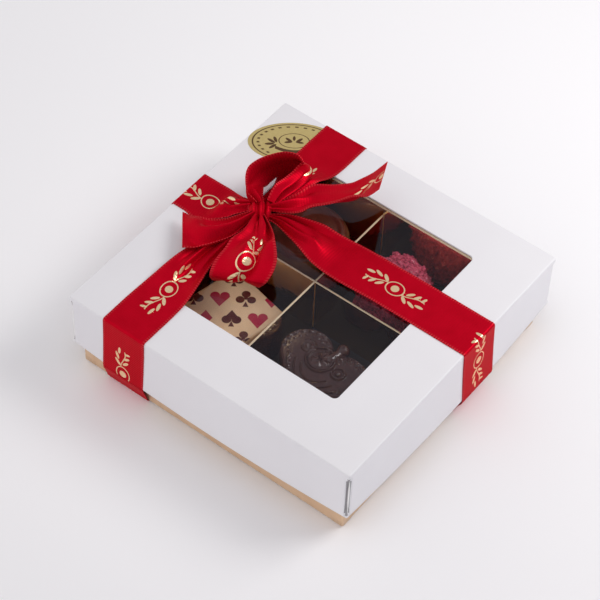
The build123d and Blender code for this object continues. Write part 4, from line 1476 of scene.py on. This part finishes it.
def build_ribbon():
    """The tied ribbon in its lengths, and the two that pass under the box."""
    satin = satin_finish("red_satin", 0.02, 0.38, 0.45, True)
    reverse = satin_finish("red_satin_reverse", 0.05, 0.48, 0.15, False)
    finishes = [satin, reverse]
    # Each length's cuts, its start in the print's pattern, its folds, their turn and lean, and its
    # printed side.
    arms = {
        "front": (FRONT_BAND, 21.5, 3.0, 0.10, 20.0, -1),
        "back": (BACK_BAND, 5.0, 3.0, 0.35, -15.0, 1),
        "left": (LEFT_BAND, 4.5, 2.5, 0.75, 0.0, -1),
        "right": (RIGHT_BAND, 12.3, 3.0, 0.60, -20.0, 1),
    }
    for side, (cuts, start, folds, turn, lean, print_side) in arms.items():
        stations = np.concatenate([over_lid(cuts), edge_cuts(side, cuts[-1])])
        surface = pleated(smooth_cuts(stations), folds, turn, lean, True)
        make_band(
            f"satin_{side}_arm", f"ribbon_{side}", "ribbon", surface, start, finishes,
            print_side,
        )
    bows = {
        "bow_lower_loop": (LOWER_LOOP, 37.2, 2.0, 0.25, 10.0, 1),
        "bow_upper_loop": (UPPER_LOOP, 37.0, 2.0, 0.15, -10.0, -1),
        "bow_left_tail": (LEFT_TAIL, 20.0, 1.5, 0.45, 10.0, -1),
        "bow_right_tail": (RIGHT_TAIL, 21.2, 2.0, 0.25, -10.0, 1),
    }
    for node, (cuts, start, folds, turn, lean, print_side) in bows.items():
        surface = pleated(smooth_cuts(over_lid(cuts)), folds, turn, lean, False)
        if node == "bow_lower_loop":
            surface = creased(surface, 0.36, 2.3)
        make_band(
            node.replace("bow_", "satin_"), node, "ribbon", surface, start, finishes,
            print_side,
        )
    make_band(
        "knot_turn", "bow_knot", "ribbon", knot_surface(), 30.0, [satin, satin],
        1,
    )
    under = [
        ("satin_under_lengthwise", under_surface("front", "back", TRAY_LOW[2] - UNDER_THICK / 2 - 0.01)),
        ("satin_under_crosswise", under_surface("left", "right", UNDER_THICK / 2 + 0.04)),
    ]
    for name, surface in under:
        make_band(
            name, "ribbon_under", "base", surface, 0.0, finishes, -1, UNDER_THICK,
        )


def build_stage():
    """Pale floor, a key light from the box's right and behind, a faint one from its left and
    behind, and a camera at the photograph's angle."""
    reach = FLOOR_HALF
    points = [[-reach, -reach, 0], [reach, -reach, 0], [reach, reach, 0], [-reach, reach, 0]]
    mesh = bpy.data.meshes.new("floor")
    mesh.from_pydata((np.array(points) * MM).tolist(), [], [[0, 1, 2, 3]])
    mesh.materials.append(floor_finish())
    floor = bpy.data.objects.new("floor", mesh)
    bpy.context.collection.objects.link(floor)

    # Each lamp's name, its way from the box, distance and side in metres, watts and colour.
    lamps = [
        ("key_light", (0.47, 0.50, 0.73), 0.42, 0.20, 0.80, (1.0, 0.985, 0.97)),
        ("side_light", (-0.70, 0.48, 0.52), 0.60, 0.12, 0.045, (1.0, 0.99, 0.98)),
    ]
    for name, way, distance, side, watts, colour in lamps:
        lamp = bpy.data.lights.new(name, "AREA")
        lamp.energy = watts
        lamp.size = side
        lamp.color = colour
        holder = bpy.data.objects.new(name, lamp)
        aim = Vector(way).normalized()
        holder.location = aim * distance
        holder.rotation_euler = aim.to_track_quat("Z", "Y").to_euler()
        bpy.context.collection.objects.link(holder)

    azimuth = CAMERA_AZIMUTH
    elevation = CAMERA_ELEVATION
    level = Vector((math.cos(azimuth), math.sin(azimuth), 0.0))
    toward = Vector((math.sin(azimuth), -math.cos(azimuth), 0.0))
    back = toward * math.cos(elevation) + Vector((0.0, 0.0, math.sin(elevation)))
    up = back.cross(level)
    right = level * math.cos(CAMERA_ROLL) + up * math.sin(CAMERA_ROLL)
    tilt = up * math.cos(CAMERA_ROLL) - level * math.sin(CAMERA_ROLL)
    lens = bpy.data.cameras.new("camera")
    lens.lens = CAMERA_LENS
    lens.sensor_width = 36.0
    lens.clip_start = 0.01
    lens.clip_end = 50.0
    camera = bpy.data.objects.new("camera", lens)
    turn = Matrix((right, tilt, back)).transposed()
    camera.matrix_world = Matrix.Translation((CAMERA_AIM + back * CAMERA_DISTANCE) * MM) @ turn.to_4x4()
    bpy.context.collection.objects.link(camera)
    bpy.context.scene.camera = camera


def light_room():
    """World light: nearly even, and brighter toward the left and the front."""
    room = Finish("studio", world=True)
    where = room.add("ShaderNodeTexCoord", output=0)
    rise = room.add("ShaderNodeSeparateXYZ", {}, [where], 2)
    stops = [(0.0, (0.33, 0.33, 0.36)), (0.7, (0.36, 0.36, 0.39))]
    even = room.add("ShaderNodeValToRGB", {"stops": stops}, [rise])
    bright_way = (-0.55, -0.83, 0.0)
    toward = room.add("ShaderNodeVectorMath", {"operation": "DOT_PRODUCT"}, {0: where, 1: bright_way}, 1)
    sided = room.mix(toward.step(-0.4, 0.7), even, (0.98, 0.955, 0.96))
    bpy.context.scene.world = room.done(room.add("ShaderNodeBackground", {}, {"Color": sided}))
    bpy.context.scene.view_settings.view_transform = "Standard"


build_card()
build_chocolates()
build_ribbon()
build_stage()
light_room()
